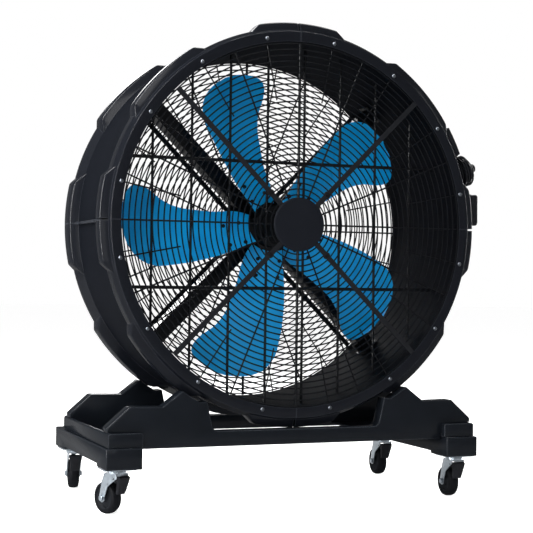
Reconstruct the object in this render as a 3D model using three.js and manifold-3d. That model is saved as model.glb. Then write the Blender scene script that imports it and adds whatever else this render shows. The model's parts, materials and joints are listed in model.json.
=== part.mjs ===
// A large drum fan on a wheeled cradle. Millimetres, +Z up, and the front faces -Y.
// The origin is on the floor, below the middle of the fan.
// Angles on the drum are seen from the front: 0 is +X and 90 is up.
import * as THREE from "three";
import { mergeVertices } from "three/addons/utils/BufferGeometryUtils.js";
import Module from "manifold-3d";

const wasm = await Module();
wasm.setup();

const RAD = Math.PI / 180;
const FIT = 0.3; // gap between two pieces that touch

// Drum shell: four hollow quadrants
const DRUM_HALF_DEPTH = 227;
const behindFront = (depth) => depth - DRUM_HALF_DEPTH;
const beforeRear = (depth) => DRUM_HALF_DEPTH - depth;
const DRUM_INNER_R = 540;
const HOLLOW_DEPTH = 33; // from the bore to the outer face between the rims
const RECESS_R = DRUM_INNER_R + HOLLOW_DEPTH;
const RECESS_Y = [behindFront(77), beforeRear(157)];
const FLANGE_DROP = 2;
const FLANGE_R = RECESS_R - FLANGE_DROP;
const FLANGE_STEP = 8; // depth of the small step behind the flange face
const FRONT_RIDGE_RISE = 9;
const FRONT_RIDGE_R = RECESS_R + FRONT_RIDGE_RISE;
const FRONT_RIDGE_Y = [22, 62].map(behindFront);
const REAR_RIDGE_RISE = 13;
const REAR_RIDGE_R = RECESS_R + REAR_RIDGE_RISE;
const REAR_RIDGE_Y = [32, 15].map(beforeRear);
const DRUM_WALL = 4;
const DRUM_SIDES = 40;

// Pads, the raised blocks round both rims
const PAD_RISE = 27;
const PAD_R = RECESS_R + PAD_RISE;
const PAD_COUNT = 8;
const PAD_TOP_HALF = 12; // degrees
const PAD_FOOT_HALF = 15.5; // degrees
const PAD_FOOT_RISE = 2;
const PAD_FOOT_R = RECESS_R + PAD_FOOT_RISE;
const FRONT_PAD_Y = [11, 20, 62, 77].map(behindFront);
const REAR_PAD_Y = [89, 77, 15, 5].map(beforeRear);

// Seam ribs and the slots through the front ridge
const RIB_RISE = 8;
const RIB_R = RECESS_R + RIB_RISE;
const RIB_HALF = 4;
const SEAM_SLOT_HALF = 3;
const SEAM_SLOT_DEPTH = 24;

// Hand-hold pockets
const POCKET_ANGLE = 43; // above and below the level line, on both sides
const POCKET_WIDTH = 76;
const POCKET_Y = [99, 205].map(behindFront);
const POCKET_DEPTH = 20;

// Grilles
const GRILLE_THICK = 5;
const GRILLE_CELLS = 9; // openings from the hub plate to the rim
const GRILLE_HUB_R = 78;
const GRILLE_RIM = 9;
const WIRE = 4.6;
const DIAGONAL_BAR = 15;
const UPRIGHT_BAR = 9;
const LEVEL_BAR = 6;
const DISC_R = 80;
const DISC_THICK = 6;

// Guard grid behind the front grille
const GRID_Y = behindFront(107);
const GRID_PITCH = 120;
const GRID_BARS = 8;
const GRID_BAR = 8;
const GRID_CROSS_BAR = 10;
const GRID_CROSS_Z = 190;

// Motor and its four arms
const MOTOR_R = 100;
const MOTOR_Y = [50, 165];
const MOTOR_FINS = 16;
const FIN_DEPTH = 9;
const MOTOR_CAP = 26;
const MOTOR_SIDES = 24;
const ARM_WIDTH = 45;
const ARM_DEPTH = 60;
const ARM_WALL = 4;
const ARM_FOOT = 66;
const SHAFT_R = 14;
const SHAFT_SIDES = 16;
const SHAFT_END = 5; // the shaft stops this far short of the motor's rear face

// Propeller
const BLADES = 5;
const FIRST_BLADE = 48; // degrees
const HUB_R = 64;
const HUB_Y = [-45, 35];
const CLAMP_R = 50;
const CLAMP_THICK = 6;
const BLADE_THICK = 5;
const BLADE_EDGE = 2;
const BLADE_COLUMNS = 5;
const BLADE_CAMBER = 9;
const BLADE_REAR_Y = 20; // the edge that leads, at the back
const ROOT_PITCH = 27; // degrees
const TIP_PITCH = 13.5;
const TWIST_END = 0.83; // share of the twisted part where the pitch stops changing
const LEADING_REACH = [75, 205]; // from the blade's line to its leading edge, at root and tip
const ROOT_END_R = 180; // the root is flat up to here, where it is bolted down
const ARM_REACH = 170;
const ARM_HALF = 38;
const ARM_THICK = 8;
// Radius, then the angle to the edge that trails and to the edge that leads
const BLADE_OUTLINE = [
  [76, 26, -40],
  [110, 20, -36],
  [ROOT_END_R, 16, -26],
  [250, 12.5, -22.8],
  [300, 10.5, -22],
  [350, 8.5, -23.5],
  [400, 6.5, -26.8],
  [440, 2.5, -27.5],
  [465, -3, -25],
  [480, -11, -17],
];

// Cradle base
const RAIL_BOTTOM = 185;
const RAIL_HEIGHT = 44.7;
const WALL_Y = [32, -13].map(beforeRear); // inner and outer face, from the drum's middle
const WALL_END_X = 578;
const WALL_END_HEIGHT = 62; // above the rail's lower edge, as are the three below
const SHOULDER_HEIGHT = 119;
const SHOULDER_X = [415, 513];
const SEAT_ANGLES = [53.6, 59.5]; // below the level line, where the wall meets the drum
const WINDOW_LIP = 22.8; // from the seat's lower end towards the middle
const WINDOW_LIP_HEIGHT = 130;
const WINDOW_FLARE = 14; // how much wider the window is at its lip than at the rail
const WINDOW_CORNER = 20;
const BASE_HALF_DEPTH = 308;
const BASE_HALF_WIDTH = 587;
const BEAM_WIDTH = 105;
const BEAM_HEIGHT = 52;
const FOOT_DROP = 8;
const FOOT_LENGTH = 105;
const TRAY_FLOOR = 7.7;
const TRAY_INNER_X = 303;
const TRAY_WALL = 8;
const BLOCK_HEIGHT = 41;
const BLOCK_INSET = 8;
const BLOCK_WIDTH = 101;
const BLOCK_CHAMFER = 4;
const BLOCK_FRONT_INSET = 9;
const BLOCK_REAR_INSET = 74;

// Casters
const CASTER_HEIGHT = 132;
const CASTER_X = 540;
const CASTER_Y = { front: -249, rear: 243 };
const CASTER_TURN = { front_left: 24, front_right: -1.5, rear_left: -8, rear_right: -2 };
const WHEEL_R = 46;
const WHEEL_SIDES = 16;
const TREAD_HALF = 16;
const HUB_HALF = 18.7;
const TRAIL = 38;
const PLATE = [92, 80, 4];
const RACE_R = 27;
const RACE_HEIGHT = 6;
const RACE_GAP = 4;
const FORK_SHEET = 3;
const BRIDGE_Y = [-24, 28]; // the fork's bridge over the wheel
const KINGPIN_R = 6;
const RUNNING = 0.6; // clearance round a pin that turns
const BEARING = 0.8; // clearance of a wheel or the motor on its shaft
const AXLE_R = 4;
const AXLE_HEAD_R = 8;
const AXLE_HEAD = 5;
const FORK_EYE_R = 12;
const PEDAL_PIN_R = 2.5;
const PEDAL_PIVOT = [-14, 104];
const PEDAL_OUTLINE = [
  [-10, 98],
  [-13, 109.5],
  [-34, 112],
  [-42, 108],
  [-40, 100],
  [-27, 70],
  [-20, 60],
  [-13, 62],
  [-16, 74],
  [-21, 92],
];

// Pieces on the right side of the drum
const POST_ANGLE = 17.3;
const POST_Y = behindFront(109);
const POST_R = 10;
const POST_END_R = 13.5;
const POST_FLANGE_R = 26;
const POST_FLANGE = 8;
const POST_LENGTH = 111;
const POST_REACH = RECESS_R + POST_LENGTH;
const BOX_STAND = 57; // how far the lid starts from the drum's outer face
const LID_DEPTH = 25;
const BOX_X = [RECESS_R + BOX_STAND, RECESS_R + BOX_STAND + LID_DEPTH];
const BOX_Y = [79, 162].map(behindFront);
const BOX_Z = [16, 117];
const BOX_CORNER = 8;
const LID_BEVEL = 3;
const KNOB_R = 16;
const KNOB_DEPTH = 20;
const KNOB_GRIP = 6;
const KNOB_STAND = 33;
const KNOB_X = RECESS_R + KNOB_STAND;
const COVER_STAND = 21;
const COVER_THICK = 17;
const COVER_R = [RECESS_R + COVER_STAND, RECESS_R + COVER_STAND + COVER_THICK];
const COVER_ANGLES = [22.5, 31.9];
const COVER_Y = [37, 117].map(behindFront);
const COVER_FOOT_Y = [87, 107].map(behindFront);

// Mains lead, wound on the post
const CORD_D = 8;
const COIL_STAND = 41;
const COIL_START = RECESS_R + COIL_STAND;
const COIL_PITCH = 8.6;
const COIL_LAYER = 9;
const COIL_INNER_R = 37;
const INNER_TURNS = 4.25;
const REVERSAL = 0.5;
const OUTER_TURNS = 3;
const TURN_STEPS = 24;
const COIL_SIDES = 6;
const CORD_SIDES = 8;
const RELIEF_LENGTH = 22;
const RELIEF_R = [8, 5.2];
const TAIL_RUN = 50;
const TAIL_BEND = 50;
const TAIL_DROP = 10;
const PLUG_BODY = [28, 20, 40];
const PLUG_NECK = 14;
const PIN_LENGTH = 18;

// Places that follow from the sizes above
const AXIS_HEIGHT = RAIL_BOTTOM + RAIL_HEIGHT + FIT + PAD_R;
const AXIS_Y = -37;
const SIDE_SHIFT = -(BOX_X[1] - PAD_R) / 2;
const DEPTH_SHIFT = -(CASTER_Y.rear + TRAIL + WHEEL_R - BASE_HALF_DEPTH) / 2;
const RAIL_TOP = RAIL_BOTTOM + RAIL_HEIGHT;
const SEAT_R = PAD_R + 2 * FIT;
const WINDOW_LIP_X = SEAT_R * Math.cos(SEAT_ANGLES[1] * RAD) - WINDOW_LIP;
const WINDOW_X = WINDOW_LIP_X - WINDOW_FLARE;
const FOOT_Z = CASTER_HEIGHT;
const BEAM_Z = FOOT_Z + FOOT_DROP;
const BEAM_TOP = BEAM_Z + BEAM_HEIGHT;
const TRAY_BOTTOM = BEAM_TOP + FIT;
const TRAY_TOP = TRAY_BOTTOM + TRAY_FLOOR;
const RIM_Z = BEAM_TOP + BLOCK_HEIGHT;
const BLOCK_X = [BASE_HALF_WIDTH - BLOCK_INSET - BLOCK_WIDTH, BASE_HALF_WIDTH - BLOCK_INSET];
const BLOCK_Y = [-BASE_HALF_DEPTH + BLOCK_FRONT_INSET, BASE_HALF_DEPTH - BLOCK_REAR_INSET];
const FORK_TOP = CASTER_HEIGHT - PLATE[2] - RACE_GAP;
const BRIDGE_Z = FORK_TOP - RACE_HEIGHT - FORK_SHEET;
const LEG_IN = HUB_HALF + FIT;
const LEG_OUT = LEG_IN + FORK_SHEET;
const AXLE = [TRAIL, WHEEL_R * Math.cos((180 / WHEEL_SIDES) * RAD)];

const MATERIALS = {
  drum: finish(0x1b1c20, 0.5, 0),
  grille: finish(0x17181c, 0.45, 0.3),
  blade: finish(0x1287c9, 0.4, 0),
  motor: finish(0x16171a, 0.5, 0.3),
  steel: finish(0x8d9094, 0.35, 0.9),
  base: finish(0x1c1d21, 0.6, 0),
  zinc: finish(0xc9d1d8, 0.3, 0.9),
  tyre: finish(0x141416, 0.7, 0),
  pedal: finish(0x1a1a1c, 0.5, 0),
  cover: finish(0x1a1b1f, 0.5, 0),
  cord: finish(0x121214, 0.6, 0),
};

function finish(color, roughness, metalness) {
  return new THREE.MeshStandardMaterial({ color, roughness, metalness, flatShading: true });
}

// ---- Solids ----

// A closed geometry as a solid that faces out.
function solid(geometry) {
  const bare = geometry.index ? geometry.toNonIndexed() : geometry.clone();
  bare.deleteAttribute("normal");
  bare.deleteAttribute("uv");
  const merged = mergeVertices(bare, 1e-4);
  const p = merged.attributes.position.array;
  const kept = [];
  let volume = 0;
  for (let i = 0; i < merged.index.count; i += 3) {
    const [a, b, c] = merged.index.array.slice(i, i + 3);
    if (a === b || b === c || c === a) continue;
    kept.push(a, b, c);
    const [ax, ay, az] = p.slice(3 * a, 3 * a + 3);
    const [bx, by, bz] = p.slice(3 * b, 3 * b + 3);
    const [cx, cy, cz] = p.slice(3 * c, 3 * c + 3);
    volume += ax * (by * cz - bz * cy) + ay * (bz * cx - bx * cz) + az * (bx * cy - by * cx);
  }
  if (volume < 0) kept.reverse();
  return new wasm.Manifold(
    new wasm.Mesh({ numProp: 3, vertProperties: p, triVerts: new Uint32Array(kept) }),
  );
}

function fuse(parts) {
  return parts.reduce((whole, part) => whole.add(part));
}

function mesh(name, part, material) {
  const data = part.getMesh();
  const geometry = new THREE.BufferGeometry();
  geometry.setAttribute("position", new THREE.BufferAttribute(data.vertProperties, 3));
  geometry.setIndex(new THREE.BufferAttribute(data.triVerts, 1));
  geometry.computeVertexNormals();
  const made = new THREE.Mesh(geometry, material);
  made.name = name;
  return made;
}

function box(x, y, z) {
  const geometry = new THREE.BoxGeometry(
    Math.abs(x[1] - x[0]),
    Math.abs(y[1] - y[0]),
    Math.abs(z[1] - z[0]),
  );
  return geometry.translate((x[0] + x[1]) / 2, (y[0] + y[1]) / 2, (z[0] + z[1]) / 2);
}

// A closed outline of [radius, y] points, turned round the Y axis.
function revolve(outline, sides) {
  const closed = [...outline, outline[0]];
  return new THREE.LatheGeometry(closed.map(([r, y]) => new THREE.Vector2(r, y)), sides);
}

// The section of a ring: r from inside to outside, y from end to end.
function ringSection(r, y) {
  return [
    [r[0], y[0]],
    [r[1], y[0]],
    [r[1], y[1]],
    [r[0], y[1]],
  ];
}

function shapeOf(outline) {
  return new THREE.Shape(outline.map(([a, b]) => new THREE.Vector2(a, b)));
}

function extrude(shape, depth) {
  return new THREE.ExtrudeGeometry(shape, { depth, bevelEnabled: false, curveSegments: 6 });
}

// A front view (x, z) made thick along Y.
function frontPlate(shape, y) {
  return extrude(shape, y[1] - y[0])
    .rotateX(90 * RAD)
    .translate(0, y[1], 0);
}

const SIDE_VIEW = new THREE.Matrix4().makeBasis(
  new THREE.Vector3(0, 1, 0),
  new THREE.Vector3(0, 0, 1),
  new THREE.Vector3(1, 0, 0),
);

// A side view (y, z) made thick along X.
function sidePlate(shape, x) {
  return extrude(shape, x[1] - x[0])
    .applyMatrix4(SIDE_VIEW)
    .translate(x[0], 0, 0);
}

// Something modelled at angle 0 of the drum, turned to its own angle.
function atAngle(geometry, degrees) {
  return geometry.rotateY(-degrees * RAD);
}

function polar(r, degrees) {
  return [r * Math.cos(degrees * RAD), r * Math.sin(degrees * RAD)];
}

function arc(centre, r, from, to, steps) {
  const points = [];
  for (let i = 0; i <= steps; i++) {
    const [a, b] = polar(r, from + ((to - from) * i) / steps);
    points.push([centre[0] + a, centre[1] + b]);
  }
  return points;
}

function circleHole(centre, r, sides) {
  const ring = arc(centre, r, 0, 360, sides).slice(0, sides);
  return new THREE.Path(ring.map(([a, b]) => new THREE.Vector2(a, b)));
}

// How far out a flat end of this half width can go before it meets the drum's liner.
function linerReach(halfWidth) {
  const flat = DRUM_INNER_R * Math.cos((180 / DRUM_SIDES) * RAD) - FIT;
  return Math.sqrt(flat * flat - halfWidth * halfWidth);
}

// ---- Drum ----

function drumSkin() {
  return [
    [DRUM_INNER_R, -DRUM_HALF_DEPTH],
    [FLANGE_R, -DRUM_HALF_DEPTH],
    [RECESS_R + 1, -DRUM_HALF_DEPTH + FLANGE_STEP],
    [FRONT_RIDGE_R, FRONT_RIDGE_Y[0]],
    [FRONT_RIDGE_R, FRONT_RIDGE_Y[1]],
    [RECESS_R, RECESS_Y[0]],
    [RECESS_R, RECESS_Y[1]],
    [REAR_RIDGE_R, REAR_RIDGE_Y[0]],
    [REAR_RIDGE_R, REAR_RIDGE_Y[1]],
    [FLANGE_R, DRUM_HALF_DEPTH],
    [DRUM_INNER_R, DRUM_HALF_DEPTH],
  ];
}

// The hollow between liner and skin, open where the quadrants meet.
function drumHollow() {
  const w = DRUM_WALL;
  return [
    [DRUM_INNER_R + w, -DRUM_HALF_DEPTH + w],
    [FLANGE_R - w, -DRUM_HALF_DEPTH + w],
    [FRONT_RIDGE_R - w, FRONT_RIDGE_Y[0] + w / 2],
    [RECESS_R - w, RECESS_Y[0]],
    [RECESS_R - w, RECESS_Y[1]],
    [REAR_RIDGE_R - w, REAR_RIDGE_Y[1] - w / 2],
    [DRUM_INNER_R + w, DRUM_HALF_DEPTH - w],
  ];
}

// A ring of pads, each with chamfered flanks.
function padRing(y, centre) {
  const ring = solid(
    revolve(
      [
        [PAD_FOOT_R, y[0]],
        [PAD_R, y[1]],
        [PAD_R, y[2]],
        [PAD_FOOT_R, y[3]],
      ],
      DRUM_SIDES,
    ),
  );
  const slope = (PAD_FOOT_HALF - PAD_TOP_HALF) / (PAD_R - PAD_FOOT_R);
  const past = PAD_R / Math.cos(PAD_TOP_HALF * RAD) - PAD_R + 5;
  const cutter = shapeOf([
    polar(PAD_FOOT_R - 5, centre - PAD_FOOT_HALF - 5 * slope),
    polar(PAD_R + past, centre - PAD_TOP_HALF + past * slope),
    polar(PAD_R + past, centre + PAD_TOP_HALF - past * slope),
    polar(PAD_FOOT_R - 5, centre + PAD_FOOT_HALF + 5 * slope),
  ]);
  return ring.intersect(solid(frontPlate(cutter, [-DRUM_HALF_DEPTH, DRUM_HALF_DEPTH])));
}

function seamRib(degrees) {
  const outline = [
    [RECESS_R - 2, RECESS_Y[0] + 20],
    [RIB_R, RECESS_Y[0] + 25],
    [RIB_R, RECESS_Y[1]],
    [RIB_R + REAR_RIDGE_R - RECESS_R, REAR_RIDGE_Y[0]],
    [RIB_R + REAR_RIDGE_R - RECESS_R, REAR_RIDGE_Y[1]],
    [FLANGE_R, REAR_RIDGE_Y[1]],
  ];
  const rib = extrude(shapeOf(outline), 2 * RIB_HALF).translate(0, 0, -RIB_HALF);
  return solid(atAngle(rib, degrees));
}

function pocketBox(grow) {
  const outer = RECESS_R - DRUM_WALL / 2 + (grow ? 0 : DRUM_WALL * 2);
  const inner = RECESS_R - POCKET_DEPTH - grow;
  const half = POCKET_WIDTH / 2 + grow;
  return box([inner, outer], [POCKET_Y[0] - grow, POCKET_Y[1] + grow], [-half, half]);
}

const POCKETS = [POCKET_ANGLE, 180 - POCKET_ANGLE, 180 + POCKET_ANGLE, -POCKET_ANGLE];

function drumBody() {
  let hollow = solid(revolve(drumHollow(), DRUM_SIDES));
  for (const angle of POCKETS) {
    hollow = hollow.subtract(solid(atAngle(pocketBox(DRUM_WALL), angle)));
  }
  let body = solid(revolve(drumSkin(), DRUM_SIDES)).subtract(hollow);
  for (let i = 0; i < PAD_COUNT; i++) {
    const centre = (360 / PAD_COUNT) * i;
    body = body.add(padRing(FRONT_PAD_Y, centre)).add(padRing(REAR_PAD_Y, centre));
  }
  for (const angle of [0, 90, 180, 270]) {
    const slot = box(
      [PAD_R - SEAM_SLOT_DEPTH, PAD_R + 5],
      [-DRUM_HALF_DEPTH + FLANGE_STEP, RECESS_Y[0]],
      [-SEAM_SLOT_HALF, SEAM_SLOT_HALF],
    );
    body = body.add(seamRib(angle)).subtract(solid(atAngle(slot, angle)));
  }
  for (const angle of POCKETS) {
    body = body.subtract(solid(atAngle(pocketBox(0), angle)));
  }
  return body;
}

function drumQuadrants() {
  const names = ["upper_right", "upper_left", "lower_left", "lower_right"];
  const body = drumBody();
  const near = FIT / 2;
  const far = 2 * PAD_R;
  return names.map((name, i) => {
    const sector = box([near, far], [-DRUM_HALF_DEPTH - 5, DRUM_HALF_DEPTH + 5], [near, far]);
    const quadrant = body.intersect(solid(atAngle(sector, 90 * i)));
    return mesh("drum_shell_" + name, quadrant, MATERIALS.drum);
  });
}

// What sits on the drum's recess is cut to its curve.
function seatOnRecess(part) {
  const drum = revolve(ringSection([0, RECESS_R + FIT], RECESS_Y), DRUM_SIDES);
  return part.subtract(solid(drum));
}

// ---- Grilles ----

function barWidth(index) {
  if (index % 2 === 1) return DIAGONAL_BAR;
  return index % 4 === 2 ? UPRIGHT_BAR : LEVEL_BAR;
}

function arcStepsAt(r) {
  return r < DRUM_INNER_R / 3 ? 2 : 3;
}

// One opening between two bars and two rings.
function grilleOpening(bar, inner, outer) {
  const start = 45 * bar;
  const end = start + 45;
  const half = [barWidth(bar) / 2, barWidth((bar + 1) % 8) / 2];
  const from = (r) => start + Math.asin(half[0] / r) / RAD;
  const to = (r) => end - Math.asin(half[1] / r) / RAD;
  const points = [
    ...arc([0, 0], inner, from(inner), to(inner), arcStepsAt(inner)),
    ...arc([0, 0], outer, to(outer), from(outer), arcStepsAt(outer)),
  ];
  return new THREE.Path(points.map(([a, b]) => new THREE.Vector2(a, b)));
}

function grille(name, y) {
  const rim = DRUM_INNER_R - FIT;
  const plate = shapeOf(arc([0, 0], rim, 0, 360, DRUM_SIDES).slice(0, DRUM_SIDES));
  const last = rim - GRILLE_RIM;
  const pitch = (last + WIRE / 2 - (GRILLE_HUB_R - WIRE / 2)) / GRILLE_CELLS;
  for (let cell = 0; cell < GRILLE_CELLS; cell++) {
    const ring = GRILLE_HUB_R - WIRE / 2 + cell * pitch;
    for (let bar = 0; bar < 8; bar++) {
      plate.holes.push(grilleOpening(bar, ring + WIRE / 2, ring + pitch - WIRE / 2));
    }
  }
  return mesh(name, solid(frontPlate(plate, y)), MATERIALS.grille);
}

// The disc over the middle of a grille; side is -1 in front and +1 behind.
function centreDisc(name, side) {
  const seat = side * (DRUM_HALF_DEPTH + FIT);
  const face = seat + side * DISC_THICK;
  const outline = [
    [0, seat],
    [DISC_R, seat],
    [DISC_R, face - side * 2],
    [DISC_R - 5, face],
    [0, face],
  ];
  return mesh(name, solid(revolve(outline, 24)), MATERIALS.grille);
}

// ---- Guard grid, motor and arms ----

function guardGrid() {
  const parts = [];
  const y = (size) => [GRID_Y - size / 2, GRID_Y + size / 2];
  for (let i = 0; i < GRID_BARS; i++) {
    const x = (i - (GRID_BARS - 1) / 2) * GRID_PITCH;
    const reach = linerReach(Math.abs(x) + GRID_BAR / 2);
    parts.push(box([x - GRID_BAR / 2, x + GRID_BAR / 2], y(GRID_BAR), [-reach, reach]));
  }
  for (const z of [-GRID_CROSS_Z, GRID_CROSS_Z]) {
    const reach = linerReach(Math.abs(z) + GRID_CROSS_BAR / 2);
    const band = [z - GRID_CROSS_BAR / 2, z + GRID_CROSS_BAR / 2];
    parts.push(box([-reach, reach], y(GRID_CROSS_BAR), band));
  }
  return mesh("inner_guard_grid", fuse(parts.map(solid)), MATERIALS.grille);
}

function motorOutline() {
  const points = [];
  const step = 360 / MOTOR_FINS;
  const half = step / 5;
  for (let i = 0; i < MOTOR_FINS; i++) {
    const centre = i * step;
    points.push(polar(MOTOR_R - FIN_DEPTH, centre - half * 1.3));
    points.push(polar(MOTOR_R, centre - half));
    points.push(polar(MOTOR_R, centre + half));
    points.push(polar(MOTOR_R - FIN_DEPTH, centre + half * 1.3));
  }
  return points;
}

function motorBody() {
  const outline = shapeOf(motorOutline());
  outline.holes.push(circleHole([0, 0], SHAFT_R + BEARING, MOTOR_SIDES));
  return mesh("motor_body", solid(frontPlate(outline, MOTOR_Y)), MATERIALS.motor);
}

function motorRearCap() {
  const front = MOTOR_Y[1] + FIT;
  const back = front + MOTOR_CAP;
  const outline = [
    [0, front],
    [MOTOR_R - 2, front],
    [MOTOR_R - 2, back - 8],
    [MOTOR_R - 14, back],
    [0, back],
  ];
  return mesh("motor_rear_cap", solid(revolve(outline, MOTOR_SIDES)), MATERIALS.motor);
}

// A channel from the motor to the liner, with a foot at each end.
function motorArm(name, degrees) {
  const y = [MOTOR_Y[0], MOTOR_Y[0] + ARM_DEPTH];
  const near = MOTOR_R - 20;
  const far = linerReach(ARM_FOOT / 2);
  const half = ARM_WIDTH / 2;
  const outer = solid(box([near, far], y, [-half, half]));
  const hollow = box(
    [MOTOR_R + 10, far - ARM_WALL],
    [y[0] + ARM_WALL, y[1] + 1],
    [-half + ARM_WALL, half - ARM_WALL],
  );
  const foot = box([far - ARM_WALL, far], y, [-ARM_FOOT / 2, ARM_FOOT / 2]);
  const motor = revolve(ringSection([0, MOTOR_R + FIT], [y[0] - 1, y[1] + 1]), MOTOR_SIDES * 2);
  const arm = outer.subtract(solid(hollow)).add(solid(foot)).subtract(solid(motor));
  const turn = new THREE.Group();
  turn.rotation.y = -degrees * RAD;
  turn.add(mesh(name, arm, MATERIALS.motor));
  return turn;
}

function motorShaft() {
  const shaft = revolve(ringSection([0, SHAFT_R], [HUB_Y[0], MOTOR_Y[1] - SHAFT_END]), SHAFT_SIDES);
  return mesh("motor_shaft", solid(shaft), MATERIALS.steel);
}

// ---- Propeller ----

// How far from root (0) to tip (1) of the twisted part of a blade.
function bladeSpan(r) {
  const tip = BLADE_OUTLINE[BLADE_OUTLINE.length - 1][0];
  return Math.max(0, (r - ROOT_END_R) / (tip - ROOT_END_R));
}

function fromRootToTip(r, [root, tip]) {
  return root + (tip - root) * Math.min(1, bladeSpan(r) / TWIST_END);
}

function bladePitch(r) {
  return fromRootToTip(r, [ROOT_PITCH, TIP_PITCH]);
}

// The slope of a blade, and where its chord crosses the line from the hub to the tip.
function bladeSlope(r) {
  return Math.tan(bladePitch(r) * RAD);
}

function bladeMiddle(r) {
  return BLADE_REAR_Y - fromRootToTip(r, LEADING_REACH) * bladeSlope(r);
}

function blade(name, centre) {
  const rows = BLADE_OUTLINE.map(([r, trailing, leading]) => {
    const camber = BLADE_CAMBER * Math.min(1, bladeSpan(r) * 3);
    const row = [];
    for (let i = 0; i < BLADE_COLUMNS; i++) {
      const across = i / (BLADE_COLUMNS - 1);
      const angle = leading + (trailing - leading) * across;
      const bulge = 4 * across * (1 - across);
      const y = bladeMiddle(r) - bladeSlope(r) * r * Math.sin(angle * RAD) + camber * bulge;
      const thick = BLADE_EDGE + (BLADE_THICK - BLADE_EDGE) * Math.min(1, bulge * 1.4);
      const [x, z] = polar(r, centre + angle);
      row.push({ front: [x, y - thick / 2, z], back: [x, y + thick / 2, z] });
    }
    return row;
  });
  return mesh(name, solid(sheetBetween(rows)), MATERIALS.blade);
}

// A closed sheet from rows of front and back points.
function sheetBetween(rows) {
  const positions = [];
  const triangle = (...corners) => corners.forEach((c) => positions.push(...c));
  const quad = (a, b, c, d) => {
    triangle(a, b, c);
    triangle(a, c, d);
  };
  const last = rows.length - 1;
  const end = rows[0].length - 1;
  for (let i = 0; i < last; i++) {
    for (let j = 0; j < end; j++) {
      const [a, b, c, d] = [rows[i][j], rows[i + 1][j], rows[i + 1][j + 1], rows[i][j + 1]];
      quad(a.front, b.front, c.front, d.front);
      quad(d.back, c.back, b.back, a.back);
    }
    quad(rows[i][0].back, rows[i + 1][0].back, rows[i + 1][0].front, rows[i][0].front);
    quad(rows[i][end].front, rows[i + 1][end].front, rows[i + 1][end].back, rows[i][end].back);
  }
  for (let j = 0; j < end; j++) {
    quad(rows[0][j].front, rows[0][j + 1].front, rows[0][j + 1].back, rows[0][j].back);
    const [a, b] = [rows[last][j], rows[last][j + 1]];
    quad(a.back, b.back, b.front, a.front);
  }
  const geometry = new THREE.BufferGeometry();
  geometry.setAttribute("position", new THREE.Float32BufferAttribute(positions, 3));
  return geometry;
}

// An arm of the hub, parallel to the root of its blade and just behind it.
function hubArm(centre) {
  const seat = bladeMiddle(ARM_REACH) + BLADE_THICK / 2 + FIT / Math.cos(ROOT_PITCH * RAD);
  const slope = bladeSlope(ARM_REACH);
  const rows = [HUB_R - 10, ARM_REACH].map((x) =>
    [-ARM_HALF, ARM_HALF].map((t) => {
      const front = seat - slope * t;
      const [px, pz] = polar(Math.hypot(x, t), centre + Math.atan2(t, x) / RAD);
      return { front: [px, front, pz], back: [px, front + ARM_THICK, pz] };
    }),
  );
  return solid(sheetBetween(rows));
}

function bladeHub() {
  const bore = SHAFT_R + FIT;
  const barrel = revolve(ringSection([bore, HUB_R], HUB_Y), SHAFT_SIDES);
  const arms = [];
  for (let i = 0; i < BLADES; i++) arms.push(hubArm(FIRST_BLADE + (360 / BLADES) * i));
  const drill = revolve(ringSection([0, bore], [HUB_Y[0] - 1, HUB_Y[1] + 1]), SHAFT_SIDES);
  return mesh("blade_hub", fuse([solid(barrel), ...arms]).subtract(solid(drill)), MATERIALS.motor);
}

function clampPlate() {
  const seat = HUB_Y[0] - FIT;
  const outline = [
    [0, seat],
    [CLAMP_R, seat],
    [CLAMP_R - 2, seat - CLAMP_THICK],
    [0, seat - CLAMP_THICK],
  ];
  return mesh("hub_clamp_plate", solid(revolve(outline, 20)), MATERIALS.motor);
}

// ---- Cradle base ----

// The outline of a cradle wall from the middle of the rail to its right end and back.
function halfWall() {
  const [seatTop, seatLow] = SEAT_ANGLES;
  const seat = arc([0, AXIS_HEIGHT], SEAT_R, -seatTop, -seatLow, 2);
  return [
    [BLOCK_X[0] - FIT, RAIL_BOTTOM],
    [BLOCK_X[0] - FIT, TRAY_TOP + FIT],
    [BLOCK_X[1] - TRAY_WALL - FIT, TRAY_TOP + FIT],
    [BLOCK_X[1] - TRAY_WALL - FIT, RIM_Z + FIT],
    [WALL_END_X, RIM_Z + FIT],
    [WALL_END_X, RAIL_BOTTOM + WALL_END_HEIGHT],
    [SHOULDER_X[1], RAIL_BOTTOM + SHOULDER_HEIGHT],
    [SHOULDER_X[0], RAIL_BOTTOM + SHOULDER_HEIGHT - 2],
    ...seat,
    [WINDOW_LIP_X, RAIL_BOTTOM + WINDOW_LIP_HEIGHT],
    ...arc([WINDOW_X - WINDOW_CORNER, RAIL_TOP + WINDOW_CORNER], WINDOW_CORNER, 0, -90, 3),
  ];
}

function cradleWall(name, y) {
  const right = halfWall();
  const left = right.map(([x, z]) => [-x, z]).reverse();
  const wall = frontPlate(shapeOf([...right, ...left]), y);
  return mesh(name, solid(wall), MATERIALS.base);
}

// The same box on either side: side is +1 on the right and -1 on the left.
function sideBox(side, x, y, z) {
  return solid(box([side * x[0], side * x[1]], y, z));
}

function endBeam(name, side) {
  const x = [BASE_HALF_WIDTH - BEAM_WIDTH, BASE_HALF_WIDTH];
  const end = BASE_HALF_DEPTH;
  const parts = [
    sideBox(side, x, [-end, end], [BEAM_Z, BEAM_TOP]),
    sideBox(side, x, [-end, -end + FOOT_LENGTH], [FOOT_Z, BEAM_Z + 1]),
    sideBox(side, x, [end - FOOT_LENGTH, end], [FOOT_Z, BEAM_Z + 1]),
  ];
  return mesh(name, fuse(parts), MATERIALS.base);
}

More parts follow.
